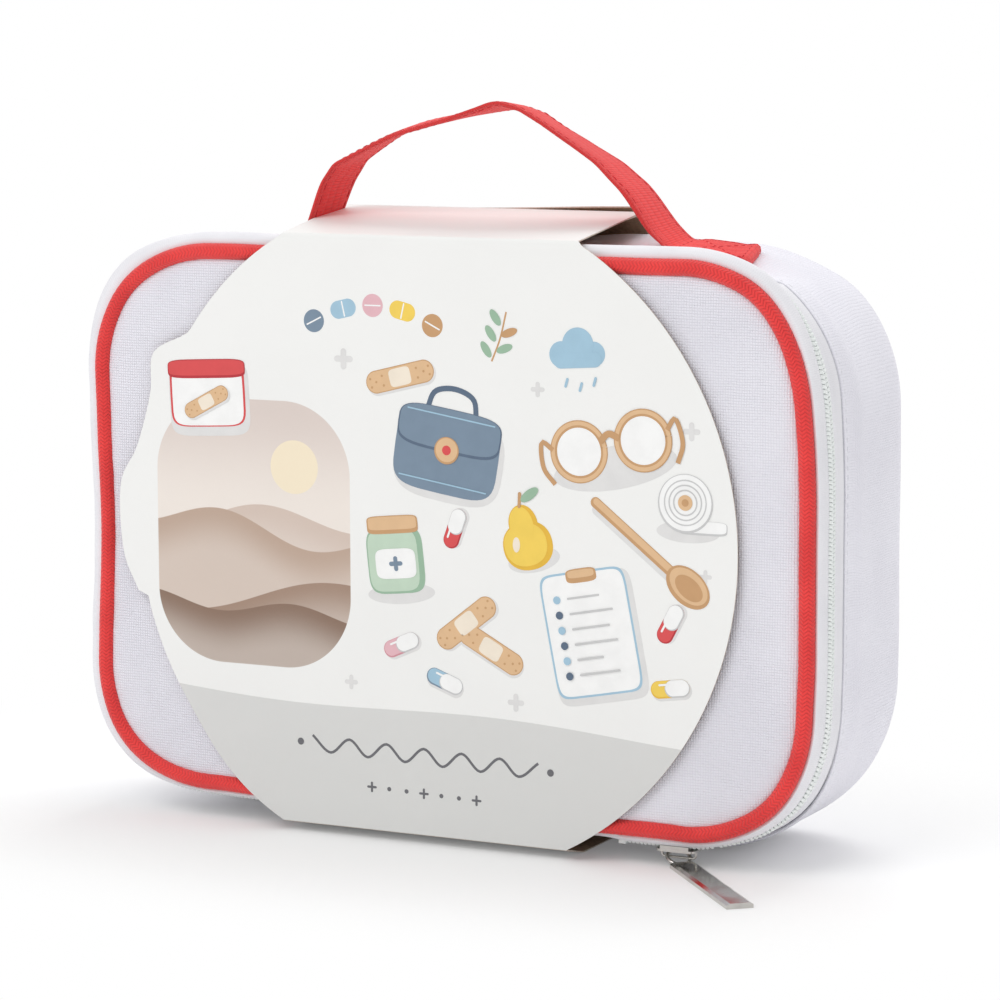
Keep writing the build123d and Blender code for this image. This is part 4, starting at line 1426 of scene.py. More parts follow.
@dataclass
class Zip:
    """Tapes, interlocking coils and the sewn hinge."""

    shape: CaseShape
    finishes: Finishes
    tape: float = 0.6 * MM
    coil_width: float = 3.1 * MM
    wire: float = 0.66 * MM
    pitch: float = 1.4 * MM
    slider_reach: float = 98 * MM
    start_reach: float = 92 * MM

    def lid_route(self) -> Array:
        """Lid's tape, from behind the piping out round it and back to the coil, as (out, depth)."""
        y, r = self.shape.front_y, self.shape.piping_radius
        out = self.shape.tape_out - self.tape / 2
        return rounded_route([(0.3 * MM, y + r + 0.5 * MM), (2.4 * MM, y + r + 0.1 * MM),
                              (r + 0.28 * MM, y - 0.3 * MM), (out, y + r + 0.8 * MM),
                              (out, self.shape.zip_y - 0.25 * MM)],
                             (1.0 * MM, 0.3 * MM, 2.4 * MM), 0.7 * MM)

    def under_hem(self) -> list[Pair]:
        """Corners of a tape's way in under the hem, as (out, depth)."""
        shape, step = self.shape, self.shape.hem_y - 4.5 * MM
        under = shape.hem_out - 1.1 * MM - self.tape / 2
        out = shape.tape_out - self.tape / 2
        return [(out, step), (under, step + 3.4 * MM), (under, shape.hem_y + 6 * MM)]

    def body_route(self) -> Array:
        """Body's tape, from the coil back and under the hem."""
        start = (self.shape.tape_out - self.tape / 2, self.shape.zip_y + 0.25 * MM)
        return rounded_route([start, *self.under_hem()], (3 * MM, 3 * MM), 0.8 * MM)

    def ribbon(self, name: str, route: Array, start: float, end: float, columns: int) -> Piece:
        """Tape along part of the rim.

        Args:
            name: The piece's name.
            route: Rows of distance outward and depth.
            start: Share of the way round where it begins.
            end: Share where it ends.
            columns: Quads along the rim.

        Returns:
            The tape with its thickness.
        """
        def surface(s: Array, t: Array) -> Array:
            """Tape with a gentle wave."""
            point, _ = along(route, t)
            share = start + (end - start) * s
            rim, _ = self.shape.rim(share % 1.0)
            ring = rows(rim[:, 0], 8 * t * MM, rim[:, 1])
            wave = 0.14 * MM * unevenness(ring, 13 * MM, 51) * ease(t, 0.2, 0.6)
            return self.shape.place(share % 1.0, point[:, 0] + wave, point[:, 1])

        piece = laid_grid(name, columns, 18, surface,
                          ((end - start) * self.shape.path.length(), length_of(route)))
        piece.data.materials.append(self.finishes.tape)
        return smooth(thickened(piece, self.tape), 60)

    def tooth(self, side: Side) -> Piece:
        """One turn of a coil round the origin: a slanted, arched bar with a rounded head."""
        bpy.ops.object.select_all(action="DESELECT")
        bpy.ops.mesh.primitive_cylinder_add(vertices=6, radius=self.wire, depth=self.coil_width)
        piece = bpy.context.active_object
        with EditMode(piece):
            bpy.ops.transform.rotate(value=math.pi / 2, orient_axis="X", center_override=ORIGIN)
            for cut in (-0.34, -0.1, 0.2):
                bpy.ops.mesh.select_all(action="SELECT")
                bpy.ops.mesh.bisect(plane_co=(0, cut * self.coil_width, 0), plane_no=(0, 1, 0))
            bpy.ops.mesh.select_all(action="SELECT")
            bpy.ops.transform.rotate(value=math.radians(16) * side.value, orient_axis="Z",
                                     center_override=ORIGIN)
        points = points_of(piece)
        away = points[:, 1] * side.value / self.coil_width
        arch = 0.55 * MM * (1 - (2 * (away - 0.06)) ** 2)
        taper = np.where(np.abs(away) > 0.45, 0.66, 1.0)
        points[:, 0] *= taper
        points[:, 2] = points[:, 2] * taper + arch
        set_points(piece, points)
        return piece

    def coil(self, name: str, side: Side, start: float, end: float) -> Piece:
        """Row of teeth of one half.

        Args:
            name: The piece's name.
            side: Which half.
            start: Share of the way round where it begins.
            end: Share where it ends.

        Returns:
            All its teeth as one mesh.
        """
        shape = self.shape
        whole = int(shape.path.length() / self.pitch)
        first, last = math.ceil(start * whole), math.floor(end * whole)
        half_step = 0.5 if side is Side.BODY else 0.0
        share = (np.arange(first, last) + half_step) / whole % 1.0
        out = np.full(len(share), shape.tape_out + 0.1 * MM)
        depth = np.full(len(share), shape.zip_y + side.value * (self.coil_width / 2 - 0.3 * MM))
        centres = shape.place(share, out, depth)
        piece = mesh_copies(name, self.tooth(side), centres, shape.facing(share))
        with EditMode(piece):
            bpy.ops.mesh.normals_make_consistent(inside=False)
        piece.data.materials.append(self.finishes.coil)
        return smooth(piece, 50)

    def build(self) -> None:
        """Makes both halves, the free stretches by the hinge and the hinge's strip."""
        shape = self.shape
        gap = shape.share_at(shape.hinge_half)
        run, begun = shape.share_at(self.slider_reach), shape.share_at(self.start_reach)
        body = join("body_zip", [self.ribbon("body_zip", self.body_route(), gap, 1 - gap, 420),
                                 self.coil("teeth", Side.BODY, gap, 1 - gap)])
        dress(body, [], "root", ["body_zip_tape", "body_zip_coil"])
        lid = join("lid_zip", [self.ribbon("lid_zip", self.lid_route(), run, 1 - begun, 400),
                               self.coil("teeth", Side.LID, run, 1 - begun)])
        dress(lid, [], "lid", ["lid_zip_tape", "lid_zip_coil"])
        for name, start, end, toward in (("lid_zip_by_slider", gap, run, 1.0),
                                         ("lid_zip_by_start", 1 - begun, 1 - gap, -1.0)):
            free = join(name, [self.ribbon(name, self.lid_route(), start, end, 24),
                               self.coil("teeth", Side.LID, start, end)])
            dress(free, [], None, ["lid_zip_run"] if toward > 0 else [])
            fixed = Vector((toward * shape.hinge_half, shape.zip_y, shape.tape_low()))
            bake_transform(free)
        self.hinge(gap)

    def hinge(self, gap: float) -> None:
        """Plain strip sewn across the bottom between the zip's ends."""
        shape = self.shape
        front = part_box("hinge_strip")[0].y
        start = [(1.6 * MM, front + 0.4 * MM), (shape.tape_out - self.tape / 2, front + 0.7 * MM)]
        route = rounded_route(start + self.under_hem(), (0.6 * MM, 3 * MM, 3 * MM), 0.8 * MM)

        def surface(s: Array, t: Array) -> Array:
            """Strip with a gentle wave."""
            point, _ = along(route, t)
            share = (gap * (2 * s - 1)) % 1.0
            flat = rows(s * 2 * shape.hinge_half, t * 20 * MM, 0)
            wave = 0.25 * MM * unevenness(flat, 12 * MM, 61)
            return shape.place(share, point[:, 0] + wave, point[:, 1])

        strip = laid_grid("hinge_strip_cloth", 90, 24, surface, (2 * shape.hinge_half, length_of(route)))
        strip = smooth(thickened(strip, self.tape), 60)
        dress(strip, [self.finishes.tape], None, ["hinge_strip"])
        low = shape.tape_low()
        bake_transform(strip)


# --- handle
@dataclass
class Ribbon:
    """Strap along a line of points, with stitches laid in its own coordinates."""

    centres: Array
    normals: Array
    width: float
    thickness: Array
    middle_y: float = 0.0
    roll: Array | None = None

    def lengths(self) -> Array:
        """Length from the start to each centre."""
        return lengths_to(self.centres)

    def at(self, run: Array, across: Array, lift: Array | float = 0.0) -> Array:
        """Points of the strap.

        Args:
            run: Distance along the strap.
            across: Distance to the back from its middle.
            lift: Height over the middle of its thickness.

        Returns:
            Rows of x, y and z.
        """
        lengths = self.lengths()
        x, z = (np.interp(run, lengths, self.centres[:, k]) for k in range(2))
        nx, nz = (np.interp(run, lengths, self.normals[:, k]) for k in range(2))
        size = np.hypot(nx, nz)
        if self.roll is not None:
            lift = lift - across * np.sin(np.interp(run, lengths, self.roll))
        return rows(x + nx / size * lift, self.middle_y + across, z + nz / size * lift)

    def body(self, name: str, columns: int) -> Piece:
        """Strap with rounded edges, a little hollow between its stitched edges, closed at both ends.

        Args:
            name: The piece's name.
            columns: Quads along its length.

        Returns:
            The closed strap.
        """
        total = self.lengths()[-1]

        def surface(s: Array, t: Array) -> Array:
            """Strap's skin, sunk a little along its edge seams."""
            run = s * total
            wide, tall = oval(2 * math.pi * t, 0.35, 0.55)
            wide = wide * self.width / 2
            tall = tall * np.interp(run, self.lengths(), self.thickness) / 2
            seam = np.exp(-((np.abs(wide) - self.width * 0.4) / (0.9 * MM)) ** 2)
            flat = rows(run, wide, 0)
            sway = 0.35 * MM * unevenness(flat, 17 * MM, 71) * np.abs(wide) / self.width * 2
            return self.at(run, wide, tall * (1 - 0.28 * seam) + sway)

        piece = laid_grid(name, columns, 44, surface, (total, 2 * self.width))
        with EditMode(piece, "DESELECT"):
            bpy.ops.mesh.select_mode(type="EDGE")
            bpy.ops.mesh.select_non_manifold()
            bpy.ops.mesh.edge_face_add()
            bpy.ops.mesh.select_mode(type="VERT")
        return closed_up(piece)

    def stitches(self, name: str, lines: Sequence[tuple[float, float, float, float]],
                 faces: Sequence[int], depth: float) -> Piece:
        """Stitches along straight lines on the strap.

        Args:
            name: The piece's name.
            lines: Start run, start across, end run and end across of each line.
            faces: 1 for the upper side, -1 for the lower.
            depth: Share of the thickness at which they lie off the middle.

        Returns:
            All of them as one mesh.
        """
        centres, axes = [], []
        for run_a, across_a, run_b, across_b in lines:
            count = max(1, int(math.hypot(run_b - run_a, across_b - across_a) / STITCH_STEP))
            share = (np.arange(count) + 0.5) / count
            run, across = run_a + (run_b - run_a) * share, across_a + (across_b - across_a) * share
            ahead = 0.5 * MM / math.hypot(run_b - run_a, across_b - across_a)
            thick = np.interp(run, self.lengths(), self.thickness)
            for face in faces:
                place = self.at(run, across, face * (thick * depth))
                other = self.at(run + (run_b - run_a) * ahead, across + (across_b - across_a) * ahead,
                                face * (thick * depth))
                forward = other - place
                forward /= np.linalg.norm(forward, axis=1, keepdims=True)
                up = self.at(run, across, face * thick) - place
                up /= np.linalg.norm(up, axis=1, keepdims=True)
                centres.append(place)
                axes.append(np.stack([forward, np.cross(up, forward), up], axis=1))
        return smooth(mesh_copies(name, stitch(2.2 * MM, 0.62 * MM), np.concatenate(centres),
                                  np.concatenate(axes)))


@dataclass
class Handle:
    """Webbing handle: one strap from patch to patch, folded under at its ends."""

    shape: CaseShape
    finishes: Finishes
    arch: tuple[Pair, ...] = ((-67.6, -0.2), (-53.6, 19.6), (-34.5, 30.2), (7.0, 39.5),
                                             (15.5, 37.0), (43.4, 20.5), (68.6, -1.0))
    bends: tuple[float, ...] = (3.0, 7.0, 60.0, 12.0, 5.0, 28.0, 3.0)
    roll: tuple[Pair, ...] = ((-66, 0), (-55, -2), (-38, -8), (-24, -7), (-12, -4), (0, 1),
                                             (8, 6), (23, 8), (34, 6.5), (43, 4), (51, 1.5), (60, 2),
                                             (66, 3), (75, 0))
    reach: float = 97 * MM
    patch_inner: float = 64 * MM
    under_layer: float = 0.8 * MM
    strap_layer: float = 1.2 * MM
    arch_layer: float = 1.8 * MM
    edge_seam: float = 10.1 * MM
    end_skew: float = 5.2 * MM
    rolled_end: float = 1.1 * MM

    def surface_z(self, x: float, height: float) -> Pair:
        """Point over the case's top at a distance off its surface.

        Args:
            x: Place along the top, before it is moved off the surface.
            height: Distance off the surface.

        Returns:
            X and z.
        """
        full = self.shape.full
        flat = full.width / 2 - full.radius
        top = full.centre_z + full.height / 2
        past = abs(x) - flat
        if past <= 0:
            return x, top + height
        angle = past / full.radius
        radius = full.radius + height
        return math.copysign(flat + radius * math.sin(angle), x), top - full.radius + radius * math.cos(angle)

    def strap_route(self) -> Array:
        """Line of the strap's middle, from fold to fold."""
        over = self.under_layer + self.strap_layer / 2 + 0.1 * MM
        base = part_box("strap_root_left")[0].z + self.arch_layer / 2
        sewn = [self.surface_z(x * MM, over + rise * MM)
                for x, rise in ((74, 0.1), (80, 0), (86, 0.1), (91, 0.4), (95.6, 1.5))]
        end = self.surface_z(98.0 * MM, 0.9 * MM)
        under = self.surface_z(90 * MM, 0.1 * MM)
        right = sewn + [end, under]
        left = [(-x, z) for x, z in right[::-1]]
        arch = [(x * MM, base + h * MM) for x, h in self.arch]
        radii = [1.0 * MM, 1.0 * MM, 5 * MM, 8 * MM, 8 * MM, 3 * MM]
        return rounded_route(left + arch + right, radii + [r * MM for r in self.bends] + radii[::-1],
                             0.9 * MM)

    def build(self) -> None:
        """Makes the strap with its stitches, and the reinforcing layer under each end."""
        route = self.strap_route()
        route = route[np.concatenate([[True], steps_of(route) > 1e-7])]
        _, normals = along(route, np.linspace(0, 1, len(route)))
        low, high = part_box("handle_strap")
        base = low.z
        rise = ease(route[:, 1], base - 9 * MM, base - 1 * MM)
        thickness = self.strap_layer + (self.arch_layer - self.strap_layer) * rise
        thickness += self.rolled_end * ease(np.abs(route[:, 0]), 92.5 * MM, 96 * MM)
        stations, angles = np.array(self.roll).T
        strap = Ribbon(route, normals, high.y - low.y, thickness, (high.y + low.y) / 2,
                       np.radians(np.interp(route[:, 0] / MM, stations, angles)))
        cloth = strap.body("handle_webbing", 330)
        cloth.data.materials.append(self.finishes.webbing)
        total, seam, fold = strap.lengths()[-1], self.edge_seam, 9 * MM
        lines = [(fold, side, total - fold, side) for side in (-seam, seam)]
        for start, end in ((fold + 1 * MM, fold + 26 * MM), (total - fold - 1 * MM, total - fold - 26 * MM)):
            lines += [(start, -seam, start, seam), (end, -seam, end, seam), (start, -seam, end, seam),
                      (start, seam, end, -seam)]
        edges = strap.stitches("edge_stitches", lines[:2], (1, -1), 0.33)
        boxes = strap.stitches("box_stitches", lines[2:], (1, -1), 0.46)
        threads = join("strap_stitches", [edges, boxes])
        threads.data.materials.append(self.finishes.red_thread)
        webbing = join("handle_webbing", [smooth(cloth, 60), threads])
        set_points(webbing, self.shape.sunk(self.skewed(points_of(webbing))))
        dress(webbing, [], None, ["handle_strap", "strap_root_left", "strap_root_right"])
        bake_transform(webbing)
        for side, node in ((-1, "handle_patch_left"), (1, "handle_patch_right")):
            self.patch(side, node)

    def patch(self, side: int, node: str) -> None:
        """Reinforcing layer under one end of the strap.

        Args:
            side: -1 on the left, 1 on the right.
            node: The node that it stands for.
        """
        stops = np.linspace(self.patch_inner, self.reach - 2 * MM, 24) * side
        centres = np.array([self.surface_z(x, self.under_layer / 2 + 0.02 * MM) for x in stops])
        _, normals = along(centres, np.linspace(0, 1, len(centres)))
        normals *= side
        low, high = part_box(node)
        layer = Ribbon(centres, normals, high.y - low.y + 0.8 * MM, np.full(len(stops), self.under_layer),
                       (high.y + low.y) / 2)
        piece = smooth(layer.body(node + "_cloth", 40), 60)
        set_points(piece, self.shape.sunk(self.skewed(points_of(piece))))
        dress(piece, [self.finishes.webbing], "root", [node])

    def skewed(self, points: Array) -> Array:
        """Points once the sewn ends are shorter at the back than at the front."""
        back = (points[:, 1] + 12.5 * MM) / (25 * MM)
        moved = points.copy()
        sewn = ease(np.abs(points[:, 0]), 72 * MM, 98 * MM)
        moved[:, 0] -= np.sign(points[:, 0]) * self.end_skew * back * sewn
        return moved


# --- card sleeve
@dataclass
class Sleeve:
    """Printed card sleeve: die-cut disc, top panel, back panel with its glue flap, bottom panel."""

    shape: CaseShape
    finishes: Finishes
    printed: Material
    card: float = 0.45 * MM
    disc_radius: float = 112.5 * MM
    disc_right: float = 108 * MM
    crease: float = 0.9 * MM
    top_left: float = -56.0 * MM
    top_right: float = 52.0 * MM
    rear_spread: Pair = (-3.8 * MM, 46.0 * MM)
    bow: float = 0.7 * MM
    tab: tuple[Pair, ...] = ((-88.0, 69.0), (-93.4, 63.9), (-106.0, 57.3), (-107.5, 43.3),
                                            (-113.0, 25.0), (-119.6, 12.0), (-118.9, -11.0),
                                            (-113.0, -25.0))

    def edges(self, z: Array) -> tuple[Array, Array]:
        """Left and right ends of the disc at heights.

        Args:
            z: Heights in the frame.

        Returns:
            Both x positions.
        """
        low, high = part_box("sleeve_front")
        up = z - self.shape.path.centre_z
        top, bottom = high.z - self.shape.path.centre_z, low.z - self.shape.path.centre_z
        right_top, right_bottom = self.top_right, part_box("sleeve_bottom")[1].x
        right = self.circle_side(up, (right_top, top), (self.disc_right, 0.0), (right_bottom, bottom))
        left = left_at(self.disc_radius, up)
        offset_top = self.top_left - left_at(self.disc_radius, top)
        offset_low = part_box("sleeve_bottom")[0].x - left_at(self.disc_radius, bottom)
        left = left + np.where(up > 0, offset_top * ease(up, 60 * MM, top),
                               offset_low * ease(-up, 60 * MM, -bottom))
        spline = smooth_line(np.array(self.tab) * MM, 12)
        order = np.argsort(spline[:, 1])
        tabbed = np.interp(up, spline[order, 1], spline[order, 0])
        inside = (up <= self.tab[0][1] * MM) & (up >= self.tab[-1][1] * MM)
        return np.where(inside, np.minimum(tabbed, left), left), right

    @staticmethod
    def circle_side(up: Array, *three: Pair) -> Array:
        """X of the right-hand arc through three points, at heights."""
        (ax, ay), (bx, by), (cx, cy) = three
        matrix = np.array([[2 * (bx - ax), 2 * (by - ay)], [2 * (cx - ax), 2 * (cy - ay)]])
        right = np.array([bx ** 2 - ax ** 2 + by ** 2 - ay ** 2, cx ** 2 - ax ** 2 + cy ** 2 - ay ** 2])
        mx, my = np.linalg.solve(matrix, right)
        radius = math.hypot(ax - mx, ay - my)
        return mx + np.sqrt(np.maximum(radius ** 2 - (up - my) ** 2, 0))

    def bowed(self, x: Array, z: Array) -> Array:
        """How far the disc stands forward of its flat place."""
        across = np.clip(x / (110 * MM), -1.1, 1.1)
        up = (z - self.shape.path.centre_z) / (99 * MM)
        return self.bow * (across ** 2) * (1 - np.clip(up, -1, 1) ** 2) * 0.8

    def front_and_top(self) -> Piece:
        """Disc and top panel in one, with a rounded crease between them."""
        low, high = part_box("sleeve_front")
        top_low, top_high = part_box("sleeve_top")
        route = rounded_route([(low.y + self.card / 2, low.z), (low.y + self.card / 2, high.z + 0.25 * MM),
                               (top_high.y, top_high.z - self.card / 2)], (self.crease,), 2.2 * MM)
        rear_left, rear_right = top_low.x + self.rear_spread[0], self.rear_spread[1]

        def surface(s: Array, t: Array) -> Array:
            """Disc and top between their two sides."""
            point, _ = along(route, t)
            y, z = point[:, 0], point[:, 1]
            left, right = self.edges(np.minimum(z, high.z))
            back = np.clip((y - route[0, 0]) / (top_high.y - route[0, 0]), 0, 1)
            left = left + (rear_left - self.top_left) * back
            right = right + (rear_right - self.top_right) * back
            x = left + (right - left) * s
            upright = np.where(back > 0, 0.0, 1.0)
            lift = 0.35 * MM * np.sin(math.pi * s) * np.sin(math.pi * back)
            return rows(x, y - self.bowed(x, z) * upright, z + lift)

        piece = laid_grid("sleeve_front_and_top", 120, 150, surface, (220 * MM, length_of(route)))
        return self.thicken(piece, -BACK)

    def thicken(self, piece: Piece, outside: Vector) -> Piece:
        """Gives the card its thickness, with its print on one side and raw board on the other.

        Args:
            piece: The open sheet.
            outside: Direction of the printed side near the first faces.

        Returns:
            The card.
        """
        if sum(face.normal.dot(outside) * face.area for face in piece.data.polygons) < 0:
            with EditMode(piece):
                bpy.ops.mesh.flip_normals()
        for material in (self.printed, self.finishes.raw_card, self.finishes.card_edge):
            piece.data.materials.append(material)
        apply_modifier(piece, "SOLIDIFY", thickness=self.card, offset=0.0, material_offset=1,
                       material_offset_rim=2, use_even_offset=True)
        return smooth(piece, 40)

    def back_and_flap(self) -> Piece:
        """Back panel, bent over the shoulder and under the case, with the glue flap."""
        back_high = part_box("sleeve_back")[1]
        top_low, top_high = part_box("sleeve_top")
        half = self.card / 2
        edge = (top_high.y + 0.15 * MM + half, back_high.z - half)
        corners = [edge, (back_high.y - half, edge[1] - 10 * MM), (back_high.y - half, half),
                   (back_high.y - 19.6 * MM, half)]
        route = rounded_route(corners, (20 * MM, 17 * MM), 2.4 * MM)
        lip = edge[1]
        rear = (top_low.x + self.rear_spread[0], self.rear_spread[1])
        proud = back_high.z - top_high.z
        foot = [corner.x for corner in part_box("sleeve_bottom")]

        def surface(s: Array, t: Array) -> Array:
            """Back panel between its two sides."""
            point, _ = along(route, t)
            down = np.clip((lip - point[:, 1]) / lip, 0, 1)
            left = rear[0] + (foot[0] - rear[0]) * down
            right = rear[1] + (foot[1] - rear[1]) * down
            swell = 0.3 * MM * np.sin(math.pi * s) * np.sin(math.pi * np.clip(t * 1.2, 0, 1))
            level = proud * (1 - ease(s, 0.4, 1.0)) * ease(point[:, 1], lip - 6 * MM, lip)
            return rows(left + (right - left) * s, point[:, 0] + np.maximum(swell, 0), point[:, 1] - level)

        back = laid_grid("sleeve_back_card", 40, 110, surface, (110 * MM, length_of(route)))
        back = self.thicken(back, BACK)
        slope = (top_high.z - top_low.z) / (top_high.y - top_low.y)

        def flap(s: Array, t: Array) -> Array:
            """Flap under the top panel."""
            depth = top_high.y - 12 * MM + 13.5 * MM * t
            height = top_high.z - self.card - 0.35 * MM + slope * (depth - top_high.y)
            return rows(rear[0] + (rear[1] - rear[0]) * s, depth, height)

        tongue = self.thicken(laid_grid("flap", 20, 6, flap, (106 * MM, 13.5 * MM)), UP)
        return join("sleeve_back_card", [back, tongue])

    def bottom(self) -> Piece:
        """Bottom panel, from the front crease down to the ground and back."""
        low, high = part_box("sleeve_bottom")
        half = self.card / 2
        route = rounded_route([(low.y + half, high.z - half), (low.y + 13 * MM, half), (high.y, half)],
                              (8 * MM,), 1.6 * MM)

        def surface(s: Array, t: Array) -> Array:
            """Bottom panel along its route."""
            point, _ = along(route, t)
            return rows(low.x + (high.x - low.x) * s, point[:, 0], point[:, 1])

        piece = laid_grid("sleeve_bottom_card", 30, 50, surface, (105 * MM, length_of(route)))
        return self.thicken(piece, -UP)

    def build(self) -> None:
        """Makes the three cards."""
        dress(self.front_and_top(), [], "lid", ["sleeve_front", "sleeve_top"])
        dress(self.back_and_flap(), [], "root", ["sleeve_back"])
        dress(self.bottom(), [], "root", ["sleeve_bottom"])


class Pen:
    """Lays thin patches of ink on the sleeve's front, in millimetres from its middle, each over the last."""

    def __init__(self, sleeve: Sleeve) -> None:
        """Keeps the sleeve and starts with a clean card."""
        self.sleeve = sleeve
        self.patches: list[Piece] = []
        self.start(0, 0)

    def start(self, x: float, up: float, turn: float = 0.0) -> Pen:
        """Starts a motif at a place, turned by degrees."""
        self.origin, self.turn, self.layer = np.array([x, up], float), math.radians(turn), 0
        return self

    @staticmethod
    def turned(flat: Array, angle: float) -> Array:
        """Rows of two coordinates turned by an angle."""
        cosine, sine = math.cos(angle), math.sin(angle)
        return flat @ np.array([[cosine, sine], [-sine, cosine]])

    def lay(self, flat: Array, tone: Ink) -> Pen:
        """Puts the active patch on the card.

        Args:
            flat: Its points from the motif's origin.
            tone: Its ink.

        Returns:
            The pen.
        """
        piece = bpy.context.active_object
        place = (self.turned(flat, self.turn) + self.origin) * MM
        z = place[:, 1] + self.sleeve.shape.path.centre_z
        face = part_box("sleeve_front")[0].y - self.sleeve.bowed(place[:, 0], z)
        lift = (0.02 + 0.03 * self.layer) * MM
        set_points(piece, rows(place[:, 0], face - lift, z))
        colours = piece.data.color_attributes.new(PrintInk.attribute, "FLOAT_COLOR", "POINT")
        colours.data.foreach_set("color", np.tile(np.array(tone.value), len(flat)))
        self.patches.append(piece)
        self.layer += 1
        return self

    def blob(self, x: float, up: float, wide: float, high: float, tone: Ink, power: float = 2.0,
             turn: float = 0.0) -> Pen:
        """Ellipse, or a rounded box where the power is above 2."""
        bpy.ops.mesh.primitive_circle_add(vertices=40, fill_type="NGON")
        flat = rows(*oval(np.arange(40) / 40 * 2 * math.pi, 2 / power, 2 / power)) * [wide / 2, high / 2]
        return self.lay(self.turned(flat, math.radians(turn)) + [x, up], tone)

    def bar(self, start: Pair, end: Pair, wide: float, tone: Ink) -> Pen:
        """Bar with round ends."""
        bpy.ops.mesh.primitive_circle_add(vertices=24, fill_type="NGON")
        angle = (np.arange(24) + 0.5) / 24 * 2 * math.pi
        run = np.array(end, float) - np.array(start, float)
        flat = wide / 2 * rows(np.cos(angle), np.sin(angle))
        flat[:, 0] += np.sign(np.cos(angle)) * np.linalg.norm(run) / 2
        middle = (np.array(start, float) + np.array(end, float)) / 2
        return self.lay(self.turned(flat, math.atan2(run[1], run[0])) + middle, tone)

    def stroke(self, points: Sequence[Pair], wide: float, tone: Ink, steps: int = 6) -> Pen:
        """Smooth line of even width through points."""
        route = smooth_line(np.array(points, float), steps)
        bpy.ops.mesh.primitive_grid_add(x_subdivisions=len(route) - 1, y_subdivisions=1, size=2)
        shares = (points_of(bpy.context.active_object) + 1) / 2
        middle, normal = along(route, shares[:, 0])
        return self.lay(middle + normal * (shares[:, 1:2] - 0.5) * wide, tone)

    def ring(self, x: float, up: float, radius: float, wide: float, tone: Ink) -> Pen:
        """Thin round line."""
        turns = np.linspace(0, 2 * math.pi, 25)
        round_line = [(x + radius * math.cos(a), up + radius * math.sin(a)) for a in turns]
        return self.stroke(round_line, wide, tone, 2)

    def plus(self, x: float, up: float, size: float, wide: float, tone: Ink) -> Pen:
        """Plus sign with round ends."""
        half = (size - wide) / 2
        self.bar((x - half, up), (x + half, up), wide, tone)
        return self.bar((x, up - half), (x, up + half), wide, tone)


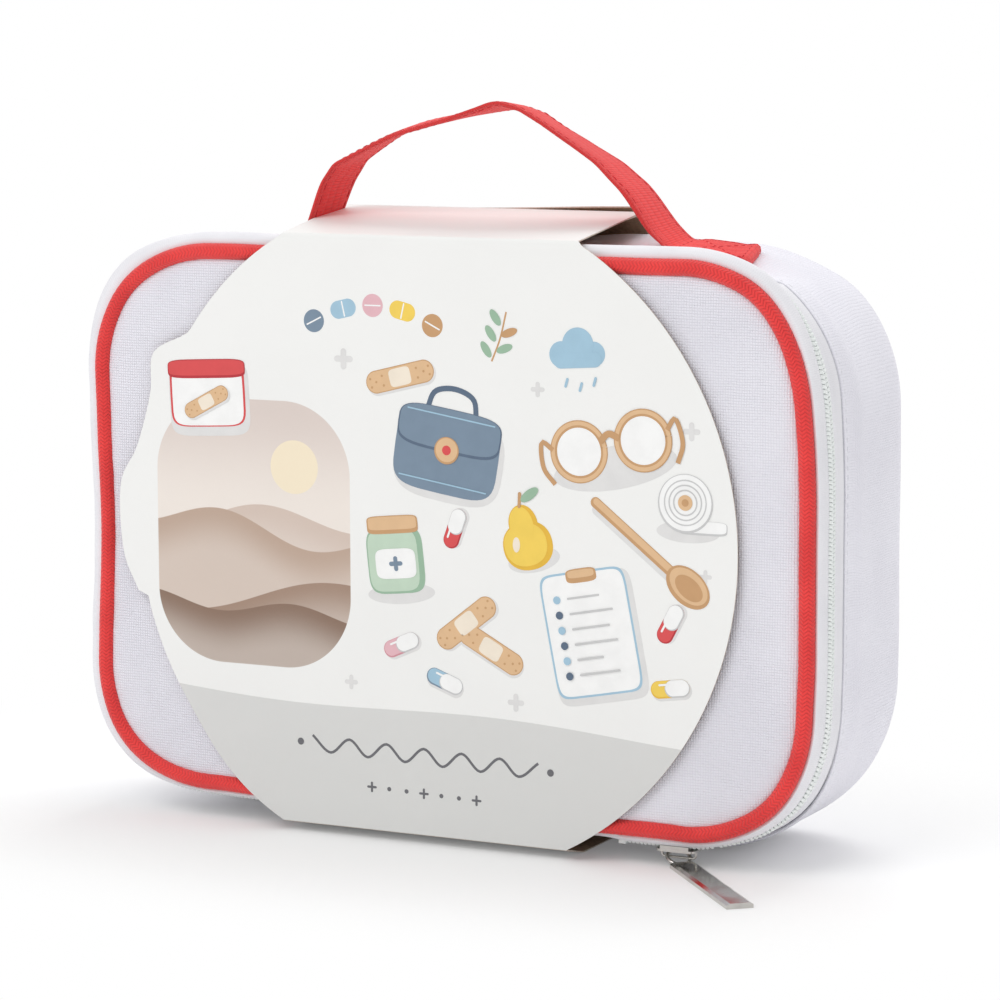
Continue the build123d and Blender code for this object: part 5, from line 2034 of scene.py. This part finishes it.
@dataclass
class SleevePrint:
    """Small pictures on the sleeve's front: plain first-aid things in soft colours."""

    sleeve: Sleeve
    inks: Material
    plasters: tuple[Triple, ...] = ((12, -27, 38), (21, -35, -28), (-12, 53, 14))
    capsules: tuple[tuple[float, float, float, tuple[Ink, Ink]], ...] = (
        (-12, -36, 24, (Ink.ROSE, Ink.DEEP_ROSE)), (4, -47, -20, (Ink.SKY, Ink.SLATE)),
        (85, -22, 62, (Ink.RED, Ink.DEEP_RED)), (85, -43, 8, (Ink.SUN, Ink.DEEP_SUN)),
        (8, 4, 70, (Ink.RED, Ink.DEEP_RED)))
    pluses: tuple[Triple, ...] = ((-33, 58, 7), (92, 40, 6), (30, -52, 6), (-31, -50, 5), (38, 51, 5),
                                  (97, -6, 4.5))

    def pouch(self, pen: Pen) -> None:
        """Rolled cloth pouch with a toggle."""
        pen.start(5, 29, -9).blob(1, -2, 40, 29, Ink.SHADE, 3.5).blob(0, 0, 38, 28, Ink.SLATE, 4.5)
        pen.stroke([(-9, 13), (-7, 19), (0, 21), (7, 19), (9, 13)], 1.8, Ink.DEEP_SLATE)
        pen.blob(0, 7, 38, 14.5, Ink.DEEP_SLATE, 4).blob(0, 7.4, 37, 13.4, Ink.SLATE, 4)
        pen.bar((-16, -10.5), (16, -10.5), 0.5, Ink.SKY).bar((-16, 11.8), (16, 11.8), 0.5, Ink.SKY)
        pen.blob(0, 0.5, 9, 9, Ink.OAK).blob(0, 0.7, 8, 8, Ink.TAN).blob(0, 0.6, 3.2, 3.2, Ink.RED)

    def glasses(self, pen: Pen) -> None:
        """Round wooden play glasses."""
        pen.start(64, 34, 12).blob(0, -7, 44, 14, Ink.SHADE)
        for side in (-1, 1):
            pen.blob(side * 11.5, 0, 17, 17, Ink.WHITE).ring(side * 11.5, 0, 9, 2.4, Ink.OAK)
            pen.ring(side * 11.5, 0, 9.2, 1.3, Ink.TAN)
            pen.stroke([(side * 20.5, 2), (side * 24, 5), (side * 25, -3), (side * 22, -9)], 1.6, Ink.OAK)
        pen.stroke([(-3.4, 2), (0, 4), (3.4, 2)], 2.2, Ink.OAK)

    def pear(self, pen: Pen) -> None:
        """Yellow pear with a leaf."""
        pen.start(34, 2, 14).blob(1, -7, 19, 8, Ink.SHADE).blob(0, -2, 18, 16, Ink.DEEP_SUN, 2.2)
        pen.blob(0, 5, 10.5, 13, Ink.DEEP_SUN).blob(-0.7, -1.6, 15.5, 14, Ink.SUN, 2.2)
        pen.blob(-0.6, 5, 8.5, 12, Ink.SUN).blob(-4, -1, 2.6, 5, Ink.CREAM, turn=-14)
        pen.bar((0, 11), (1.2, 15), 1.1, Ink.OAK).blob(4.6, 14, 7.5, 3.2, Ink.DEEP_MINT, turn=22)

    def spoon(self, pen: Pen) -> None:
        """Wooden spoon."""
        pen.start(76, 2, -38).bar((-20, -1.4), (16, -1.4), 4, Ink.SHADE).bar((-22, 0), (12, 0), 3.6, Ink.OAK)
        pen.bar((-22, 0.4), (12, 0.4), 2.2, Ink.TAN).blob(19, 0, 17, 11.5, Ink.OAK)
        pen.blob(19, 0.4, 15, 9.6, Ink.TAN).blob(19.5, 0, 11, 6.6, Ink.OAK)

    def jar(self, pen: Pen) -> None:
        """Jar of salve with a wooden lid."""
        pen.start(-14, -8, 6).blob(1, -11, 25, 7, Ink.SHADE).blob(0, 0, 21, 22, Ink.DEEP_MINT, 5)
        pen.blob(-0.8, 0, 18.5, 20.5, Ink.MINT, 5).blob(0, 12, 19, 6, Ink.OAK, 6)
        pen.blob(0, 12.5, 18, 4.4, Ink.TAN, 6)
        pen.blob(0, -1, 15, 10, Ink.WHITE, 5).plus(0, -1, 5, 1.5, Ink.SLATE)

    def roll(self, pen: Pen) -> None:
        """Roll of gauze with a loose end."""
        pen.start(90, 17, 0).blob(1, -9, 22, 7, Ink.SHADE).blob(6, -7.5, 17, 4.6, Ink.GREY, 5)
        pen.blob(6, -7.2, 16.4, 3.8, Ink.WHITE, 5)
        pen.blob(0, 0, 19, 19, Ink.GREY).blob(0, 0.3, 18, 18, Ink.WHITE)
        for radius in (7.2, 5.6, 4.0):
            pen.ring(0, 0.3, radius, 0.45, Ink.GREY)
        pen.blob(0, 0.3, 5, 5, Ink.TAN).blob(0, 0.3, 2.4, 2.4, Ink.OAK)

    def clipboard(self, pen: Pen) -> None:
        """Wooden clipboard with a ruled sheet."""
        pen.start(57, -27, 11).blob(1, -1.5, 33, 43, Ink.SHADE, 9).blob(0, 0, 31, 41, Ink.SKY, 10)
        pen.blob(0, 0, 29.6, 39.6, Ink.WHITE, 10)
        pen.blob(0, 19, 11, 4.6, Ink.OAK, 4).blob(0, 19.6, 9.5, 2.6, Ink.TAN, 4)
        for row, end in ((12, 5), (7, 9), (2, 7), (-3, 9), (-8, 3), (-13, 8)):
            pen.bar((-6, row), (end, row), 0.7, Ink.GREY)
            pen.blob(-10, row, 2.6, 2.6, Ink.DEEP_SLATE if row % 2 else Ink.SKY)

    def plaster(self, pen: Pen, x: float, up: float, turn: float, size: float = 1.0, over: int = 0) -> None:
        """Adhesive plaster with a pad and vents.

        Args:
            pen: The pen.
            x: Place across.
            up: Height.
            turn: Turn in degrees.
            size: Scale.
            over: Layers of ink that lie under it.
        """
        pen.start(x, up, turn).layer = over
        pen.bar((-8.6 * size, -0.7), (9.4 * size, -0.7), 8 * size, Ink.SHADE)
        pen.bar((-9 * size, 0), (9 * size, 0), 7.6 * size, Ink.OAK)
        pen.bar((-9 * size, 0), (9 * size, 0), 7 * size, Ink.TAN).blob(0, 0, 8 * size, 6 * size, Ink.CREAM, 5)
        pen.layer -= 1
        for side in (-1, 1):
            for column, row in ((6.5, 1.6), (6.5, -1.6), (9, 0), (11, 1.4), (11, -1.4)):
                pen.blob(side * column * size, row * size, 0.8 * size, 0.8 * size, Ink.OAK)
                pen.layer -= 1

    def capsule(self, pen: Pen, x: float, up: float, turn: float, tones: tuple[Ink, Ink]) -> None:
        """Two-coloured capsule.

        Args:
            pen: The pen.
            x: Place across.
            up: Height.
            turn: Turn in degrees.
            tones: The ink of its end and of its edge.
        """
        pen.start(x, up, turn)
        pen.bar((-3.5, -0.8), (4.5, -0.8), 6, Ink.SHADE).bar((-4, 0), (4, 0), 5.8, tones[1])
        pen.bar((-4, 0.2), (4, 0.2), 5.1, tones[0]).bar((0.9, 0), (4, 0), 5.8, Ink.GREY)
        pen.bar((0.9, 0.2), (4, 0.2), 5.2, Ink.WHITE).bar((-3.6, 1.5), (-0.4, 1.5), 0.7, Ink.WHITE)

    def tin(self, pen: Pen) -> None:
        """White tin with a red lid and a plaster on it."""
        pen.start(-85, 44, 3).blob(0.6, -1.6, 31, 25, Ink.SHADE, 6).blob(0, 0, 29, 22, Ink.RED, 6)
        pen.blob(0, -0.6, 27.4, 20, Ink.WHITE, 6)
        pen.blob(0, 8.6, 30, 6.4, Ink.DEEP_RED, 5).blob(0, 8.9, 29.4, 5.2, Ink.RED, 5)
        self.plaster(pen, -85.4, 41.4, 28, 0.72, 6)

    def tablets(self, pen: Pen) -> None:
        """Row of five tablets on a gentle arc."""
        for place, tone in enumerate((Ink.SLATE, Ink.SKY, Ink.ROSE, Ink.SUN, Ink.OAK)):
            x = 11 * (place - 2)
            pen.start(-22 + x, 76 - 0.012 * x * x, -x * 1.2)
            if place % 2:
                pen.bar((-1.8, 0), (1.8, 0), 6, tone).bar((0, -2.4), (0, 2.4), 0.5, Ink.WHITE)
            else:
                pen.blob(0, 0, 7.6, 7.6, tone).bar((-2.8, 0), (2.8, 0), 0.5, Ink.WHITE)

    def sprig_and_cloud(self, pen: Pen) -> None:
        """Leafy sprig and a small cloud."""
        pen.start(24, 67, -18).stroke([(0, -8), (0.6, 0), (0, 9)], 0.6, Ink.OAK)
        for side, row in ((-1, -5), (1, -2.5), (-1, 0.5), (1, 3), (-1, 6)):
            pen.blob(side * 3.1, row, 6, 2.7, Ink.OAK if row == 3 else Ink.DEEP_MINT, turn=side * 38)
        pen.start(52, 64, 4)
        for x, up, size in ((-5.6, -1, 8.6), (5.8, -1.2, 8), (0.4, 2, 11)):
            pen.blob(x, up, size, size, Ink.SKY)
        pen.bar((-6, -3), (6, -3), 5, Ink.SKY)
        for x, up in ((-4, -9), (1, -10.5), (6, -9)):
            pen.bar((x, up), (x - 0.8, up - 2.2), 0.9, Ink.SKY)

    def foot(self, pen: Pen) -> None:
        """Wavy line and dots in the grey foot."""
        pen.start(-4, -73, -1.5)
        pen.stroke([(7 * k, 2.6 * (-1) ** k) for k in range(-6, 7)], 0.9, Ink.DARK, 10)
        for side in (-46.5, 46.5):
            pen.blob(side, 0, 2.4, 2.4, Ink.DARK)
        for place in range(-3, 4):
            pen.start(-4 + 6.5 * place, -85.5 - 0.17 * place)
            if place % 3:
                pen.blob(0, 0, 1.5, 1.5, Ink.DARK)
            else:
                pen.plus(0, 0, 3.6, 0.8, Ink.DARK)

    def build(self) -> None:
        """Makes every picture and joins them into one printed layer."""
        pen = Pen(self.sleeve)
        for motif in (self.pouch, self.glasses, self.pear, self.spoon, self.jar, self.roll, self.clipboard,
                      self.tin, self.tablets, self.sprig_and_cloud, self.foot):
            motif(pen)
        for place in self.plasters:
            self.plaster(pen, *place)
        for place in self.capsules:
            self.capsule(pen, *place)
        for x, up, size in self.pluses:
            pen.start(x, up).plus(0, 0, size, size * 0.3, Ink.SHADE)
        layer = join("sleeve_print", pen.patches)
        dress(thickened(layer, 0.016 * MM), [self.inks], "lid")


def left_at(radius: float, up: Array | float) -> Array:
    """Left end of a circle at heights over its middle."""
    return -np.sqrt(np.maximum(radius ** 2 - up ** 2, 0))


def smooth_line(points: Array, steps: int) -> Array:
    """Smooth curve through points.

    Args:
        points: Rows of two coordinates.
        steps: Points between each pair.

    Returns:
        Rows along the curve.
    """
    ends = np.concatenate([[2 * points[0] - points[1]], points, [2 * points[-1] - points[-2]]])
    curve = []
    for a, b, c, d in zip(ends, ends[1:], ends[2:], ends[3:]):
        for t in np.linspace(0, 1, steps, endpoint=False):
            curve.append(0.5 * (2 * b + (c - a) * t + (2 * a - 5 * b + 4 * c - d) * t ** 2
                               + (3 * b - a - 3 * c + d) * t ** 3))
    return np.array(curve + [points[-1]])


# --- metal, inner pieces
@dataclass
class PlainNodes:
    """Nodes shown in their own shapes: the zip's metal and stops, and the walls' foam and boards."""

    finishes: Finishes

    def build(self) -> None:
        """Gives each its material."""
        finishes = self.finishes
        for material, names in ((finishes.chrome, ("zip_slider", "slider_crown", "zip_puller")),
                                (finishes.coil, ("zip_end_stops",)),
                                (finishes.foam, ("back_panel_foam", "front_panel_foam")),
                                (finishes.board, ("back_panel_board", "front_panel_board"))):
            for name in names:
                slots = bpy.data.objects[name].data.materials
                slots.clear()
                slots.append(material)


@dataclass
class Underlays:
    """Foam of the side band and backing of the handle, which follow the sunk top."""

    shape: CaseShape
    finishes: Finishes
    slice_step: float = 3 * MM

    def copy(self, node: str, name: str) -> Piece:
        """Copies a node's mesh, cut across so that it can follow the soft top.

        Args:
            node: The node.
            name: The new piece's name.

        Returns:
            The copy, sunk with the top.
        """
        mesh = bpy.data.objects[node].data.copy()
        mesh.materials.clear()
        piece = bpy.data.objects.new(name, mesh)
        bpy.context.scene.collection.objects.link(piece)
        low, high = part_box(node)
        with EditMode(piece):
            bpy.ops.mesh.remove_doubles(threshold=1e-6)
            for depth in np.arange(low.y + self.slice_step, min(high.y, 14 * MM), self.slice_step):
                bpy.ops.mesh.select_all(action="SELECT")
                bpy.ops.mesh.bisect(plane_co=(0, depth, 0), plane_no=(0, 1, 0))
        set_points(piece, self.shape.settled(points_of(piece)))
        return smooth(piece, 40)

    def build(self) -> None:
        """Makes both."""
        dress(self.copy("side_band_foam", "side_band_foam_pad"), [self.finishes.foam], "root",
              ["side_band_foam"])
        dress(self.copy("handle_backing", "handle_backing_plates"), [self.finishes.binding],
              "root", ["handle_backing"])


# --- studio
@dataclass
class Studio:
    """White sweep, lamps, world and camera."""

    eye: Triple = (0.5486, -1.1051, 0.2785)
    yaw: float = 26.284
    pitch: float = 7.751
    roll: float = -0.149
    lens: float = 132.63

    def camera(self) -> None:
        """Places the camera."""
        data = bpy.data.cameras.new("camera")
        data.lens, data.sensor_width, data.sensor_fit = self.lens, 36.0, "HORIZONTAL"
        data.clip_start, data.clip_end = 0.05, 50.0
        camera = bpy.data.objects.new("camera", data)
        yaw, pitch, roll = (math.radians(v) for v in (self.yaw, self.pitch, self.roll))
        ahead = Vector((-math.sin(yaw) * math.cos(pitch), math.cos(yaw) * math.cos(pitch), -math.sin(pitch)))
        right = Vector((math.cos(yaw), math.sin(yaw), 0))
        up = right.cross(ahead)
        side = right * math.cos(roll) + up * math.sin(roll)
        high = up * math.cos(roll) - right * math.sin(roll)
        camera.matrix_world = Matrix((side, high, -ahead)).transposed().to_4x4()
        camera.location = self.eye
        bpy.context.scene.collection.objects.link(camera)
        bpy.context.scene.camera = camera

    def lamp(self, name: str, place: Triple, aim: Triple, size: float, power: float) -> None:
        """Adds a square area lamp.

        Args:
            name: The lamp's name.
            place: Its position.
            aim: The point that it faces.
            size: Its side.
            power: Watts.
        """
        data = bpy.data.lights.new(name, "AREA")
        data.size, data.energy, data.shape = size, power, "SQUARE"
        lamp = bpy.data.objects.new(name, data)
        lamp.location = place
        lamp.rotation_euler = (Vector(aim) - Vector(place)).to_track_quat("-Z", "Y").to_euler()
        bpy.context.scene.collection.objects.link(lamp)

    @staticmethod
    def blank(owner: bpy.types.ID) -> NodeSheet:
        """Empty sheet of nodes of a new world or material."""
        owner.use_nodes = True
        owner.node_tree.nodes.clear()
        return NodeSheet(owner.node_tree)

    def world(self) -> None:
        """White surroundings to camera and transmission rays, dimmer as light."""
        world = bpy.data.worlds.new("studio")
        sheet = self.blank(world)
        path = sheet.add("LightPath").outputs
        seen = sheet.math("MAXIMUM", path["Is Camera Ray"], path["Is Transmission Ray"])
        strength = sheet.add("MapRange", {"Value": seen, "To Min": 0.7, "To Max": 1.0}).outputs[0]
        background = sheet.add("Background", {"Color": (1, 1, 1, 1), "Strength": strength})
        sheet.add("OutputWorld", {"Surface": background.outputs[0]})
        bpy.context.scene.world = world

    def ground(self) -> None:
        """White floor: shaded close to the object, fading into plain white further off."""
        bpy.ops.mesh.primitive_circle_add(vertices=96, radius=9.0, fill_type="TRIFAN")
        floor = bpy.context.active_object
        floor.name = "studio_floor"
        material = bpy.data.materials.new("studio_floor")
        sheet = self.blank(material)
        place = sheet.add("NewGeometry").outputs["Position"]
        narrowed = sheet.add("VectorMath", {0: place, 1: (0.5, 1.0, 1.0)}, operation="MULTIPLY").outputs[0]
        distance = sheet.add("VectorMath", {0: narrowed}, operation="LENGTH").outputs["Value"]
        path = sheet.add("LightPath").outputs
        seen = sheet.math("MAXIMUM", path["Is Camera Ray"], path["Is Glossy Ray"])
        share = sheet.times(sheet.remap(distance, 0.06, 0.17, 0.12, 1.0), seen)
        matt = sheet.add("BsdfDiffuse", {"Color": (0.96, 0.96, 0.96, 1)}).outputs[0]
        glow = sheet.add("Emission", {"Color": (1, 1, 1, 1)}).outputs[0]
        mix = sheet.add("MixShader", {"Fac": share, 1: matt, 2: glow})
        sheet.add("OutputMaterial", {"Surface": mix.outputs[0]})
        floor.data.materials.append(material)

    def build(self) -> None:
        """Sets everything round the object."""
        bpy.context.scene.view_settings.view_transform = "Standard"
        self.world()
        self.ground()
        self.lamp("key", (-0.5, -1.5, 1.7), (0, 0, 0.1), 1.1, 12.0)
        self.lamp("rear", (0.1, 0.9, 1.6), (0, 0, 0.1), 0.9, 10.0)
        self.camera()


def main() -> None:
    """Builds the whole scene over the loaded frame."""
    logging.basicConfig(level=logging.INFO)
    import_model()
    shape = CaseShape.read()
    effects = Effects.build()
    finishes = Finishes.build(effects)
    sleeve = Sleeve(shape, finishes, PrintedCard(shape.path.centre_z).material(effects))
    for assembly in (SoftPanels(shape, finishes), Band(shape, finishes), Piping(shape, finishes),
                     Zip(shape, finishes), Handle(shape, finishes),
                     sleeve, SleevePrint(sleeve, PrintInk().material(effects)), PlainNodes(finishes),
                     Underlays(shape, finishes)):
        started = time.time()
        assembly.build()
        LOG.info("%s took %.1f s", type(assembly).__name__, time.time() - started)
    Studio().build()


if __name__ == "__main__":
    main()
